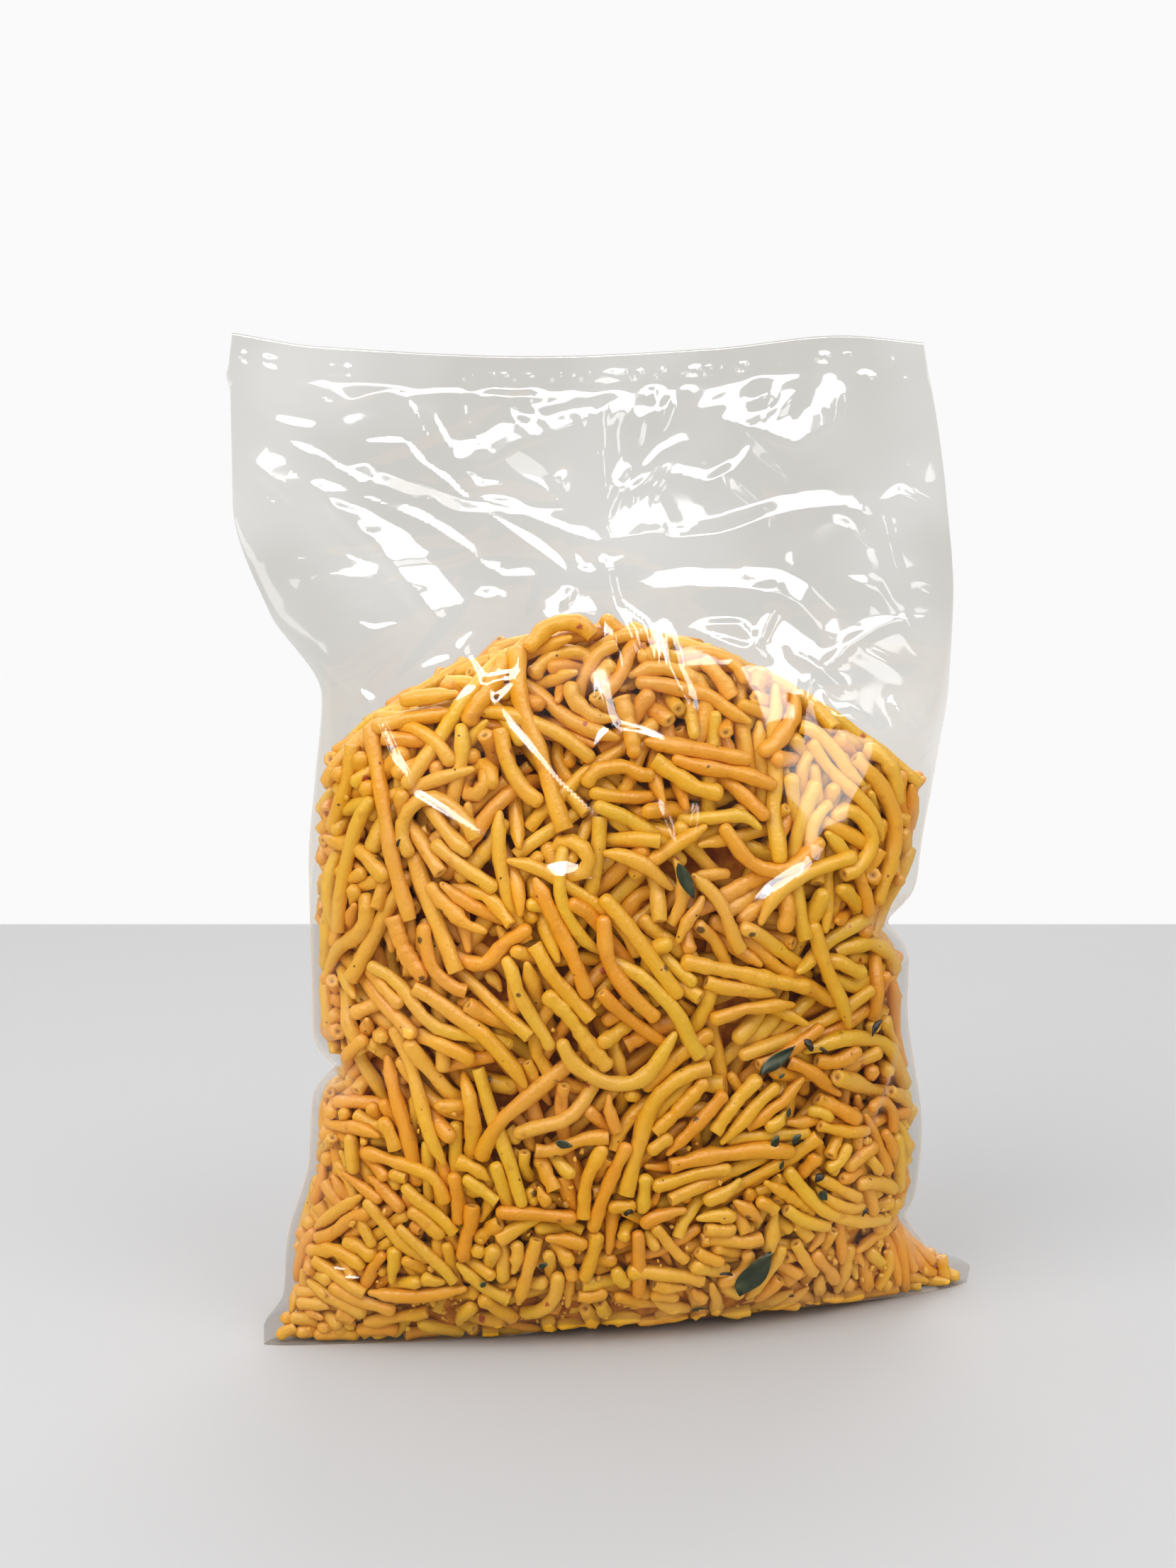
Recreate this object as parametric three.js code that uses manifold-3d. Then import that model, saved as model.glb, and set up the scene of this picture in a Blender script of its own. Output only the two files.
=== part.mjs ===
// A clear film bag of murukku: fried, spiced sticks, sealed in a flat bag that stands on its own foot.
// Millimetres, +Z up. The bag's width runs along X and its front faces -Y.
// The origin is on the surface that the bag stands on, under the middle of its outer box.
// The bag is one closed solid. Its outer form is the film: a pillow full of sticks, two ears where the
// bottom seal ends, and an empty flat top with its seal and its main creases. Where the sticks press
// against the film, they stand out from the core in relief.
import * as THREE from "three";
import { mergeVertices } from "three/addons/utils/BufferGeometryUtils.js";
import Module from "manifold-3d";

const wasm = await Module();
wasm.setup();

// Driving sizes of the bag.
const bagHeight = 334.5; // foot to the top edge at its left corner
const flatWidth = 254; // the flat bag's width, which the bottom seal keeps from ear to ear
const bellyDepth = 96; // front to back where the bag is fullest
const sealHeight = 325; // where the top seal starts
const lipThickness = 1.6; // of the sealed top and of the ears' ends

// Driving sizes of the heap of sticks.
const stickRadius = 2.9;
const stickSkin = 0.1; // film between a stick and the bag's outer face
const reliefDepth = 3; // how far the sticks stand out from the core
const heapHeight = 238; // top of the heap at its peak
const heapShoulder = 186; // top of the heap at the bag's sides
const heapPeakX = -6;
const heapHalf = 107; // from the peak to the bag's sides
const heapDome = 1.7; // exponent of the dome: 2 is a parabola
const heapRim = 14; // height over which the heap's top edge runs out to the film

// Broken sticks lie low and nearly level, and whole ones lie high and may stand steeply.
const brokenStick = { length: 24, steepest: 0.6 };
const wholeStick = { length: 58, steepest: 1.5 };
const stickFoot = 11; // lowest middle of a stick
const lowestStick = 9; // lowest end of a stick
const stickBend = 1.3; // most that a stick turns along its length, in radians
const lengthSpread = 0.25; // share by which lengths differ from the middle value
const radiusSpread = 0.1;

// How finely the sticks are divided, and their random draw.
const stickCount = 114;
const stickSides = 5;
const stickSteps = 3;
const seed = 20;

// How finely the core is divided.
const coreTurns = 44;
const coreRows = 24;
const footCrowding = 0.1; // how much closer the rows lie near the foot

const earHalf = flatWidth / 2;
const bellyHalf = bellyDepth / 2;
const lipHalf = lipThickness / 2;

// The bag's outline from the foot up: how far it reaches left, right, forwards and back of the origin
// at each height. edge is how thin its sides are: 1 is an ellipse, 2 is a lens and 0.8 is fuller.
const stations = [
  { z: 0, left: earHalf - 3, right: earHalf, front: 18, back: 36, edge: 1.5 },
  { z: 6, left: earHalf - 3, right: earHalf + 1, front: 28, back: 41, edge: 1.6 },
  { z: 16, left: 117, right: 111, front: 38, back: 45, edge: 1.25 },
  { z: 30, left: 115.5, right: 104, front: 44, back: bellyHalf - 1, edge: 1 },
  { z: 60, left: 107, right: 105.5, front: bellyHalf, back: bellyHalf, edge: 0.85 },
  { z: 110, left: 105, right: 99, front: bellyHalf, back: bellyHalf, edge: 0.8 },
  { z: 160, left: 105.5, right: 103, front: 45, back: 45, edge: 0.85 },
  { z: 190, left: 103, right: 109, front: 38, back: 38, edge: 1 },
  { z: 217, left: 100.5, right: 113.5, front: 28, back: 29, edge: 1.2 },
  { z: 245, left: 117, right: 114.5, front: 16, back: 18, edge: 1.5 },
  { z: 280, left: earHalf + 1, right: 111, front: 9, back: 10, edge: 1.5 },
  { z: 314, left: earHalf + 1, right: 105.5, front: 4, back: 4, edge: 1.3 },
  { z: sealHeight, left: earHalf + 1, right: 103, front: lipHalf, back: lipHalf, edge: 0.6 },
  { z: bagHeight, left: earHalf, right: 101.5, front: lipHalf, back: lipHalf, edge: 0.6 },
];

// Creases that nip the sides in, as on a bag that has slumped.
const pinches = [
  { side: "left", z: 91, depth: 8, reach: 6 },
  { side: "right", z: 137, depth: 9, reach: 7 },
  { side: "right", z: 30, depth: 3, reach: 6 },
];

// The left ear lies a little forwards of the bag's middle and the right one behind it.
const earShift = { left: -11, right: 6, below: 40 };

// How far the top edge lies below its left corner at each x, with a hump near its right end. The empty
// film sways forwards and back.
const topEdge = [
  { x: -127, drop: 0 },
  { x: -100, drop: 4.3 },
  { x: -30, drop: 7.4 },
  { x: 30, drop: 4.8 },
  { x: 74, drop: 0.5 },
  { x: 102, drop: 2.9 },
];
const sway = { amount: 4, period: 190, phase: 0.6 };
const emptyFrom = 235; // height at which the film starts to be empty

// The main creases of the film's sheets, as low roofs on it: how high the crest stands, how wide the
// flanks left and right of its way are, and the x and z that it passes.
const frontCreases = [
  { rise: 7, flanks: [12, 5], path: [[-104, 288], [-92, 275], [-74, 255], [-62, 237]] },
  { rise: 5, flanks: [10, 4], path: [[-124, 296], [-112, 285], [-102, 275]] },
  { rise: 2.8, flanks: [6, 3.5], path: [[-91, 284], [-70, 274], [-46, 257]] },
  { rise: 2.6, flanks: [4.5, 3], path: [[-74, 298], [-58, 282], [-30, 263], [-18, 254]] },
  { rise: 3.4, flanks: [9, 3], path: [[-61, 294], [-47, 293], [-38, 299], [-16, 305]] },
  { rise: 2.6, flanks: [5, 5], path: [[-9, 272], [-8, 311]] },
  { rise: 4.5, flanks: [15, 4], path: [[-12, 266], [14, 270]] },
  { rise: 2.6, flanks: [7, 5], path: [[-11, 254], [24, 268], [80, 281]] },
  { rise: 2.8, flanks: [8, 5], path: [[-4, 255], [19, 252], [56, 246], [66, 237]] },
  { rise: 3.8, flanks: [9, 3], path: [[31, 306], [47, 301], [58, 297], [70, 305], [73, 315]] },
];
const backCreases = [
  { rise: 5, flanks: [8, 12], path: [[92, 292], [60, 262], [34, 236]] },
  { rise: 4, flanks: [9, 5], path: [[-96, 300], [-52, 284], [-6, 280]] },
  { rise: 4, flanks: [6, 10], path: [[-84, 250], [-40, 262], [8, 258]] },
  { rise: 3.2, flanks: [6, 6], path: [[44, 308], [30, 282], [26, 262]] },
];
const creaseSteps = 4; // pieces that each crease is divided into
const creaseSink = 0.6; // how far the flanks' lower edges lie inside the film
const creaseKeel = 2; // how far its underside lies inside

// Where the core meets the film: at the foot and in the ears.
const footEdge = { from: 2, to: 16 };
const earEdge = { from: 100, to: 112, below: 20, above: 40 };

const clamp01 = (t) => Math.min(1, Math.max(0, t));
const easedStep = (from, to, t) => {
  const s = clamp01((t - from) / (to - from));
  return s * s * (3 - 2 * s);
};

// A monotone cubic through the values v at the places z, so that it never overshoots.
function monotone(z, v) {
  const slope = z.slice(1).map((_, i) => (v[i + 1] - v[i]) / (z[i + 1] - z[i]));
  const tangent = z.map((_, i) => {
    if (i === 0) return slope[0];
    if (i === z.length - 1) return slope[i - 1];
    const [a, b] = [slope[i - 1], slope[i]];
    return a * b <= 0 ? 0 : (2 * a * b) / (a + b);
  });
  return (height) => {
    const i = Math.max(0, z.findLastIndex((zi, k) => zi <= height && k < z.length - 1));
    const span = z[i + 1] - z[i];
    const t = clamp01((height - z[i]) / span);
    const [t2, t3] = [t * t, t * t * t];
    return (
      v[i] * (2 * t3 - 3 * t2 + 1) +
      tangent[i] * span * (t3 - 2 * t2 + t) +
      v[i + 1] * (3 * t2 - 2 * t3) +
      tangent[i + 1] * span * (t3 - t2)
    );
  };
}
const valuesOf = (rows, key) => rows.map((row) => row[key]);
const outline = Object.fromEntries(
  ["left", "right", "front", "back", "edge"].map((key) => [
    key,
    monotone(valuesOf(stations, "z"), valuesOf(stations, key)),
  ]),
);
const topDrop = monotone(valuesOf(topEdge, "x"), valuesOf(topEdge, "drop"));

const nip = (side, height) =>
  pinches
    .filter((p) => p.side === side)
    .reduce((sum, p) => sum + p.depth * Math.exp(-(((height - p.z) / p.reach) ** 2)), 0);

// A point of the film: turn 0 is the bag's right side, 0.25 its back, 0.5 its left and 0.75 its front.
function filmPoint(turn, height) {
  const angle = 2 * Math.PI * turn;
  const [c, s] = [Math.cos(angle), Math.sin(angle)];
  const side = c < 0 ? "left" : "right";
  const x = c * (outline[side](height) - nip(side, height));
  const halfDepth = outline[s < 0 ? "front" : "back"](height);
  const low = 1 - easedStep(0, earShift.below, height);
  const y = halfDepth * Math.sign(s) * Math.abs(s) ** outline.edge(height) + low * c * c * earShift[side];
  const empty = easedStep(emptyFrom, sealHeight, height);
  const swayed = y + empty * sway.amount * Math.sin((2 * Math.PI * x) / sway.period + sway.phase);
  return new THREE.Vector3(x, swayed, height - empty * topDrop(x));
}

// The film's outward direction, from two short steps along it.
function filmNormal(turn, height) {
  const step = 0.004;
  const here = filmPoint(turn, height);
  const around = filmPoint(turn + step, height).sub(here);
  const up = filmPoint(turn, Math.min(height + 1, bagHeight)).sub(here);
  return around.cross(up).normalize();
}

// How high the heap of sticks reaches at each x: a dome over the shoulders.
function heapTop(x) {
  const across = clamp01(Math.abs(x - heapPeakX) / heapHalf);
  return heapShoulder + (heapHeight - heapShoulder) * (1 - across ** heapDome);
}

// How far the core lies inside the film: reliefDepth behind the sticks, and nothing at the foot,
// at the ears and in the empty top, where the film itself is what shows.
function inset(turn, height) {
  const x = filmPoint(turn, height).x;
  const inHeap = 1 - easedStep(heapTop(x) - heapRim, heapTop(x), height);
  const offFoot = easedStep(footEdge.from, footEdge.to, height);
  const inEar = easedStep(earEdge.from, earEdge.to, Math.abs(x));
  const offEars = 1 - inEar * (1 - easedStep(earEdge.below, earEdge.above, height));
  return reliefDepth * inHeap * offFoot * offEars;
}

function manifoldOf(geometry) {
  const bare = geometry.clone();
  bare.deleteAttribute("normal");
  bare.deleteAttribute("uv");
  const merged = mergeVertices(bare, 1e-4);
  return new wasm.Manifold(
    new wasm.Mesh({
      numProp: 3,
      vertProperties: new Float32Array(merged.attributes.position.array),
      triVerts: new Uint32Array(merged.index.array),
    }),
  );
}

function geometryOf(solid) {
  const mesh = solid.getMesh();
  const geometry = new THREE.BufferGeometry();
  geometry.setAttribute("position", new THREE.BufferAttribute(mesh.vertProperties, 3));
  geometry.setIndex(new THREE.BufferAttribute(mesh.triVerts, 1));
  geometry.computeVertexNormals();
  return geometry;
}

// Heights of the core's rows, closer together near the foot, and one at the top seal.
function rowHeights() {
  const heights = [];
  for (let row = 0; row < coreRows; row++) {
    const t = row / (coreRows - 1);
    heights.push(sealHeight * (t - footCrowding * Math.sin(2 * Math.PI * t) * (1 - t)));
  }
  return [...heights, bagHeight];
}

// The core: rings of the film's section, brought in by inset, and closed flat at the foot and the top.
function coreGeometry() {
  const heights = rowHeights();
  const positions = [];
  const indices = [];
  for (const height of heights)
    for (let k = 0; k < coreTurns; k++) {
      const turn = k / coreTurns;
      const p = filmPoint(turn, height);
      p.addScaledVector(filmNormal(turn, height).setZ(0), -inset(turn, height));
      positions.push(p.x, p.y, p.z);
    }
  const ring = (row, k) => row * coreTurns + (k % coreTurns);
  for (let row = 0; row < heights.length - 1; row++)
    for (let k = 0; k < coreTurns; k++) {
      const [a, b] = [ring(row, k), ring(row, k + 1)];
      const [c, d] = [ring(row + 1, k + 1), ring(row + 1, k)];
      indices.push(a, b, c, a, c, d);
    }
  // Each end is closed by strips from its front edge to its back edge.
  const last = heights.length - 1;
  for (let k = 0; k < coreTurns / 2; k++) {
    const [a, b] = [k, k + 1];
    const [c, d] = [coreTurns - k - 1, coreTurns - k];
    for (const [row, flip] of [
      [0, true],
      [last, false],
    ]) {
      const quad = [ring(row, a), ring(row, b), ring(row, c), ring(row, d)];
      const tris = [
        [quad[0], quad[1], quad[2]],
        [quad[0], quad[2], quad[3]],
      ];
      for (const t of tris) {
        if (new Set(t).size < 3) continue;
        indices.push(...(flip ? [t[0], t[2], t[1]] : t));
      }
    }
  }
  const geometry = new THREE.BufferGeometry();
  geometry.setAttribute("position", new THREE.BufferAttribute(new Float32Array(positions), 3));
  geometry.setIndex(indices);
  return geometry;
}

// Seeded random numbers from 0 to 1.
function randomSource(start) {
  let state = start >>> 0;
  return () => {
    state = (state + 0x6d2b79f5) >>> 0;
    let t = Math.imul(state ^ (state >>> 15), 1 | state);
    t = (t + Math.imul(t ^ (t >>> 7), 61 | t)) ^ t;
    return ((t ^ (t >>> 14)) >>> 0) / 4294967296;
  };
}

// One stick that lies against the film: its centre line wanders along the film from its middle,
// a stick's radius inside it.
function stickCurve(turn, height, heading, length, bend) {
  const half = stickSteps / 2;
  const points = [];
  for (const way of [-1, 1]) {
    let [t, z, angle] = [turn, height, heading];
    const step = (way * length) / stickSteps;
    for (let i = way < 0 ? 0 : 1; i <= half; i++) {
      if (i > 0) {
        angle += bend * step;
        const around = filmPoint(t + 0.002, z).distanceTo(filmPoint(t, z)) / 0.002;
        t += (Math.cos(angle) * step) / around;
        z = Math.min(Math.max(z + Math.sin(angle) * step, lowestStick), heapHeight);
      }
      const p = filmPoint(t, z);
      p.addScaledVector(filmNormal(t, z), -stickRadius - stickSkin);
      if (way < 0) points.unshift(p);
      else points.push(p);
    }
  }
  return new THREE.CatmullRomCurve3(points);
}

function stickGeometry(curve, radius) {
  const section = new THREE.Shape();
  for (let k = 0; k < stickSides; k++) {
    const a = (2 * Math.PI * (k + 0.5)) / stickSides;
    const corner = [radius * Math.cos(a), radius * Math.sin(a)];
    if (k === 0) section.moveTo(...corner);
    else section.lineTo(...corner);
  }
  section.closePath();
  return new THREE.ExtrudeGeometry(section, {
    steps: stickSteps,
    bevelEnabled: false,
    extrudePath: curve,
  });
}

// The turn at each share of the way round the film, by length, so that what is spread by it lies evenly.
function turnsByLength(height, pieces) {
  const turns = Array.from({ length: pieces + 1 }, (_, i) => i / pieces);
  const lengths = [0];
  for (let i = 1; i <= pieces; i++)
    lengths.push(lengths[i - 1] + filmPoint(turns[i], height).distanceTo(filmPoint(turns[i - 1], height)));
  return (share) => {
    const goal = share * lengths[pieces];
    const i = Math.max(1, lengths.findIndex((l) => l >= goal));
    const part = (goal - lengths[i - 1]) / (lengths[i] - lengths[i - 1]);
    return turns[i - 1] + part / pieces;
  };
}

// The sticks are spread evenly over the film by the golden ratio, from the foot up to the heap's top.
function stickSolids() {
  const random = randomSource(seed);
  const signed = () => 2 * random() - 1;
  const golden = (Math.sqrt(5) - 1) / 2;
  const turnAt = turnsByLength(heapShoulder / 2, 200);
  const solids = [];
  for (let i = 0; i < stickCount; i++) {
    const share = (i + 0.5) / stickCount;
    const turn = turnAt((i * golden) % 1);
    const top = heapTop(filmPoint(turn, heapShoulder).x) - 2 * stickRadius;
    const height = stickFoot + (top - stickFoot) * share;
    const high = easedStep(0.3, 0.8, share);
    const mix = (key) => brokenStick[key] + (wholeStick[key] - brokenStick[key]) * high;
    const length = mix("length") * (1 + lengthSpread * signed());
    const heading = mix("steepest") * signed();
    const bend = (stickBend * signed()) / length;
    const radius = stickRadius * (1 - radiusSpread * random());
    solids.push(manifoldOf(stickGeometry(stickCurve(turn, height, heading, length, bend), radius)));
  }
  return solids;
}

// The film's turn at x and a height, on its front or back sheet.
function turnAtX(x, height, onBack) {
  const side = x < 0 ? "left" : "right";
  const half = outline[side](height) - nip(side, height);
  const turn = Math.acos(Math.min(Math.max(x / half, -0.99), 0.99)) / (2 * Math.PI);
  return onBack ? turn : 1 - turn;
}

// A crease: a crest, two flanks that run into the film and a keel inside it, from point to point. At a
// share s of its length its crest stands rise * sqrt(sin(pi s)) above the film.
function creaseGeometry({ rise, flanks, path }, onBack) {
  const curve = new THREE.CatmullRomCurve3(path.map(([x, z]) => new THREE.Vector3(x, 0, z)));
  const positions = [];
  const indices = [];
  const put = (x, z, out) => {
    const height = z + easedStep(emptyFrom, sealHeight, z) * topDrop(x); // before the top edge's drop
    const turn = turnAtX(x, height, onBack);
    const p = filmPoint(turn, height).addScaledVector(filmNormal(turn, height), out);
    positions.push(p.x, p.y, p.z);
  };
  const ends = [curve.getPointAt(0), curve.getPointAt(1)];
  for (let i = 1; i < creaseSteps; i++) {
    const share = i / creaseSteps;
    const at = curve.getPointAt(share);
    const way = curve.getTangentAt(share);
    const taper = Math.sqrt(Math.sin(Math.PI * share));
    put(at.x, at.z, rise * taper);
    put(at.x - way.z * flanks[0], at.z + way.x * flanks[0], -creaseSink);
    put(at.x, at.z, -creaseKeel);
    put(at.x + way.z * flanks[1], at.z - way.x * flanks[1], -creaseSink);
  }
  for (const end of ends) put(end.x, end.z, -creaseSink);
  const corner = (ring, k) => ring * 4 + (k % 4);
  const last = creaseSteps - 2;
  const [startTip, endTip] = [4 * (last + 1), 4 * (last + 1) + 1];
  const face = (a, b, c) => indices.push(...(onBack ? [a, b, c] : [a, c, b]));
  for (let k = 0; k < 4; k++) {
    for (let ring = 0; ring < last; ring++) {
      face(corner(ring, k), corner(ring, k + 1), corner(ring + 1, k + 1));
      face(corner(ring, k), corner(ring + 1, k + 1), corner(ring + 1, k));
    }
    face(startTip, corner(0, k + 1), corner(0, k));
    face(endTip, corner(last, k), corner(last, k + 1));
  }
  const geometry = new THREE.BufferGeometry();
  geometry.setAttribute("position", new THREE.BufferAttribute(new Float32Array(positions), 3));
  geometry.setIndex(indices);
  return geometry;
}

function creaseSolids() {
  const solids = [];
  for (const crease of frontCreases) solids.push(manifoldOf(creaseGeometry(crease, false)));
  for (const crease of backCreases) solids.push(manifoldOf(creaseGeometry(crease, true)));
  return solids;
}

// The largest body's outer skin alone: loose scraps go, and hollows that the fusing sealed are filled.
function outerBody(solid) {
  const bodies = solid.decompose();
  return bodies.reduce((best, b) => (b.volume() > best.volume() ? b : best));
}

const core = manifoldOf(coreGeometry());
const joined = wasm.Manifold.union([core, ...stickSolids(), ...creaseSolids()]);
const bag = new THREE.Mesh(
  geometryOf(outerBody(joined)),
  new THREE.MeshStandardMaterial({ color: 0xe0a23c, roughness: 0.45, metalness: 0 }),
);
bag.name = "bag";

// The origin goes under the middle of the outer box.
const outer = new THREE.Box3().setFromObject(bag).getCenter(new THREE.Vector3());
bag.position.set(-outer.x, -outer.y, 0);

const part = new THREE.Group();
part.add(bag);
export default part;
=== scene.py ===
import math

import bpy
import numpy as np
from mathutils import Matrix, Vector


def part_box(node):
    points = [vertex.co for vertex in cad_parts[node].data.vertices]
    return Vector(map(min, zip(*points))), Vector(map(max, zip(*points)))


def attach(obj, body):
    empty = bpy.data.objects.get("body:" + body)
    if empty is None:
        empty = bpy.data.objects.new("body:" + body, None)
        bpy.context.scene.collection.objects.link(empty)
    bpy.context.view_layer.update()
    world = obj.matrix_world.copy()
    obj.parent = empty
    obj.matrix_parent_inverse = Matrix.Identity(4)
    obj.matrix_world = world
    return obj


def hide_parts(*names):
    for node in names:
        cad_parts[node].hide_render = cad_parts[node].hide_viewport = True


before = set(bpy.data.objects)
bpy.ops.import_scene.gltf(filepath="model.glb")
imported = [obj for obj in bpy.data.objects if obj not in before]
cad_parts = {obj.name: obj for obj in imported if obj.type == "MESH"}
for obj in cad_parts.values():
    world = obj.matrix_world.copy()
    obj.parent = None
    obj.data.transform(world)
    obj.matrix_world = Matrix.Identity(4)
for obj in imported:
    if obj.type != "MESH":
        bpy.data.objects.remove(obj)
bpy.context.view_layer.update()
low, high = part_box("bag")
print("frame loaded")

# Lengths below are in millimetres at the bag's full height; mm turns them into Blender's metres.
bag = {
    "height": 334.5,  # foot to the top edge
    "seal": 325.0,  # where the top seal starts
    "ear": 127.0,  # half of the flat width
    "belly": 48.0,  # half of the depth where the bag is fullest
    "lip": 0.8,  # half of the sealed top's thickness
    # how far the top edge lies below its left corner at each x
    "topEdge": [(-127, 0), (-100, 4.3), (-30, 7.4), (30, 4.8), (74, 0.5), (102, 2.9)],
    "sway": (4.0, 190.0, 0.6),  # the empty top sways: amount, period, phase
    "emptyFrom": 235.0,
    "earShift": (-11.0, 6.0, 40.0),  # left ear forwards, right ear back, fading out at this height
    "pinches": [("left", 91, 8, 6), ("right", 137, 9, 7), ("right", 30, 3, 6)],
    "footLift": (1.8, -42, 120),  # how far the foot's front edge is lifted, and between which x
}
mm = (high.z - low.z) / bag["height"]


def stations():
    ear, belly, lip = bag["ear"], bag["belly"], bag["lip"]
    # height, reach to the left, right, front and back, and how thin the sides are
    return np.array([
        (0, ear - 3, ear, 18, 36, 1.5),
        (6, ear - 3, ear + 1, 28, 41, 1.6),
        (16, 117, 111, 38, 45, 1.25),
        (30, 115.5, 104, 44, belly - 1, 1.0),
        (60, 107, 105.5, belly, belly, 0.85),
        (110, 105, 99, belly, belly, 0.8),
        (160, 105.5, 103, 45, 45, 0.85),
        (190, 103, 109, 38, 38, 1.0),
        (217, 100.5, 113.5, 28, 29, 1.2),
        (245, 117, 114.5, 16, 18, 1.5),
        (280, ear + 1, 111, 9, 10, 1.5),
        (314, ear + 1, 105.5, 4, 4, 1.3),
        (bag["seal"], ear + 1, 103, lip, lip, 0.6),
        (bag["height"], ear, 101.5, lip, lip, 0.6),
    ], float)


def smooth(a, b, t):
    # 3s^2 - 2s^3, with s running from 0 at a to 1 at b
    s = np.clip((t - a) / (b - a), 0, 1)
    return s * s * (3 - 2 * s)


def unit(v):
    # v / |v|, along the last axis
    return v / np.linalg.norm(v, axis=-1, keepdims=True)


def monotone(z, v):
    # a cubic through the values whose slopes are harmonic means, so it never overshoots
    slope = np.diff(v) / np.diff(z)
    a, b = slope[:-1], slope[1:]
    same = a * b > 0
    inner = np.where(same, 2 * a * b / np.where(same, a + b, 1), 0)
    tangent = np.concatenate((slope[:1], inner, slope[-1:]))

    def at(h):
        i = np.clip(np.searchsorted(z, h, "right") - 1, 0, len(z) - 2)
        span = z[i + 1] - z[i]
        t = np.clip((h - z[i]) / span, 0, 1)
        t2, t3 = t * t, t * t * t
        return (v[i] * (2 * t3 - 3 * t2 + 1) + tangent[i] * span * (t3 - 2 * t2 + t)
                + v[i + 1] * (3 * t2 - 2 * t3) + tangent[i + 1] * span * (t3 - t2))

    return at


table = stations()
outline = {key: monotone(table[:, 0], table[:, k + 1])
           for k, key in enumerate(("left", "right", "front", "back", "edge"))}
topDrop = monotone(*np.array(bag["topEdge"], float).T)


def reach(side, z):
    # the outline's reach, less the bell of each pinch on that side
    nip = sum(depth * np.exp(-((z - at) / width) ** 2)
              for name, at, depth, width in bag["pinches"] if name == side)
    return outline[side](z) - nip


def sectionAt(z, toRight, toBack):
    # the half width, half depth, edge power and the ear's shift, for each side of the section
    width = np.where(toRight, reach("right", z), reach("left", z))
    depth = np.where(toBack, outline["back"](z), outline["front"](z))
    shiftLeft, shiftRight, below = bag["earShift"]
    shift = (1 - smooth(0, below, z)) * np.where(toRight, shiftRight, shiftLeft)
    return width, depth, outline["edge"](z), shift


def emptied(z):
    # from 0 where the bag is filled to 1 at the seal
    return smooth(bag["emptyFrom"], bag["seal"], z)


def sway(x, z):
    # the empty top's wave, amount sin(2 pi x / period + phase)
    amount, period, phase = bag["sway"]
    return emptied(z) * amount * np.sin(2 * np.pi * x / period + phase)


def filmPoint(turn, z):
    # x = W cos a, y = D |sin a|^edge + shift cos^2 a, with the empty top swaying and its edge dropping
    c, s = np.cos(2 * np.pi * turn), np.sin(2 * np.pi * turn)
    width, depth, edge, shift = sectionAt(z, c >= 0, s >= 0)
    x = width * c
    y = depth * np.sign(s) * np.abs(s) ** edge + shift * c * c
    return np.stack((x, y + sway(x, z), z - emptied(z) * topDrop(x)), -1)


def filmFrame(turn, z):
    # outward normal, level tangent and upward tangent, from short steps along the film
    here = filmPoint(turn, z)
    around = unit(filmPoint(turn + 0.002, z) - filmPoint(turn - 0.002, z))
    up = filmPoint(turn, np.minimum(z + 0.5, bag["height"])) - filmPoint(turn, np.maximum(z - 0.5, 0))
    normal = unit(np.cross(around, up))
    return here, normal, around, np.cross(normal, around)


view = {"turn": -10.0, "rise": 9.0, "distance": 867.0, "target": (-13.5, -10.0, 187.0), "lens": 60.0}
photo = {"width": 1659, "height": 2212, "sensor": 36.0}


def viewAxes():
    # the camera's place and its right, up and forward directions, in millimetres
    turn, rise = math.radians(view["turn"]), math.radians(view["rise"])
    back = np.array([math.sin(turn) * math.cos(rise), -math.cos(turn) * math.cos(rise), math.sin(rise)])
    right = np.cross(-back, (0, 0, 1))
    right /= np.linalg.norm(right)
    return np.array(view["target"]) + back * view["distance"], right, np.cross(right, -back), -back


def sheetY(x, z, toBack):
    # the film's y at x and z, on its front or back sheet
    width, depth, edge, shift = sectionAt(z, x >= 0, np.full(np.shape(x), toBack))
    u = np.clip(x / width, -0.9995, 0.9995)
    y = (1 if toBack else -1) * depth * (1 - u * u) ** (edge / 2) + shift * u * u
    return y + sway(x, z)


def undropped(x, z):
    # the height that a point of the film had before the top edge's drop
    level = z
    for _ in range(4):
        level = z + emptied(level) * topDrop(x)
    return np.clip(level, 0, bag["height"])


def seenOnFront(pixels):
    # where the line of sight through each pixel of the photograph meets the bag's front sheet, with the
    # height as it was before the top edge's drop
    place, right, up, ahead = viewAxes()
    pixels = np.asarray(pixels, float)
    scale = photo["sensor"] / view["lens"] / photo["height"]
    across = (pixels[:, 0] - photo["width"] / 2) * scale
    above = (photo["height"] / 2 - pixels[:, 1]) * scale
    sight = ahead + across[:, None] * right + above[:, None] * up
    y = np.full(len(pixels), -35.0)
    for _ in range(12):
        spot = place + sight * ((y - place[1]) / sight[:, 1])[:, None]
        level = undropped(spot[:, 0], spot[:, 2])
        y += 0.6 * (sheetY(spot[:, 0], level, False) - y)
    return np.stack((spot[:, 0], spot[:, 1], level), 1)


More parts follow.
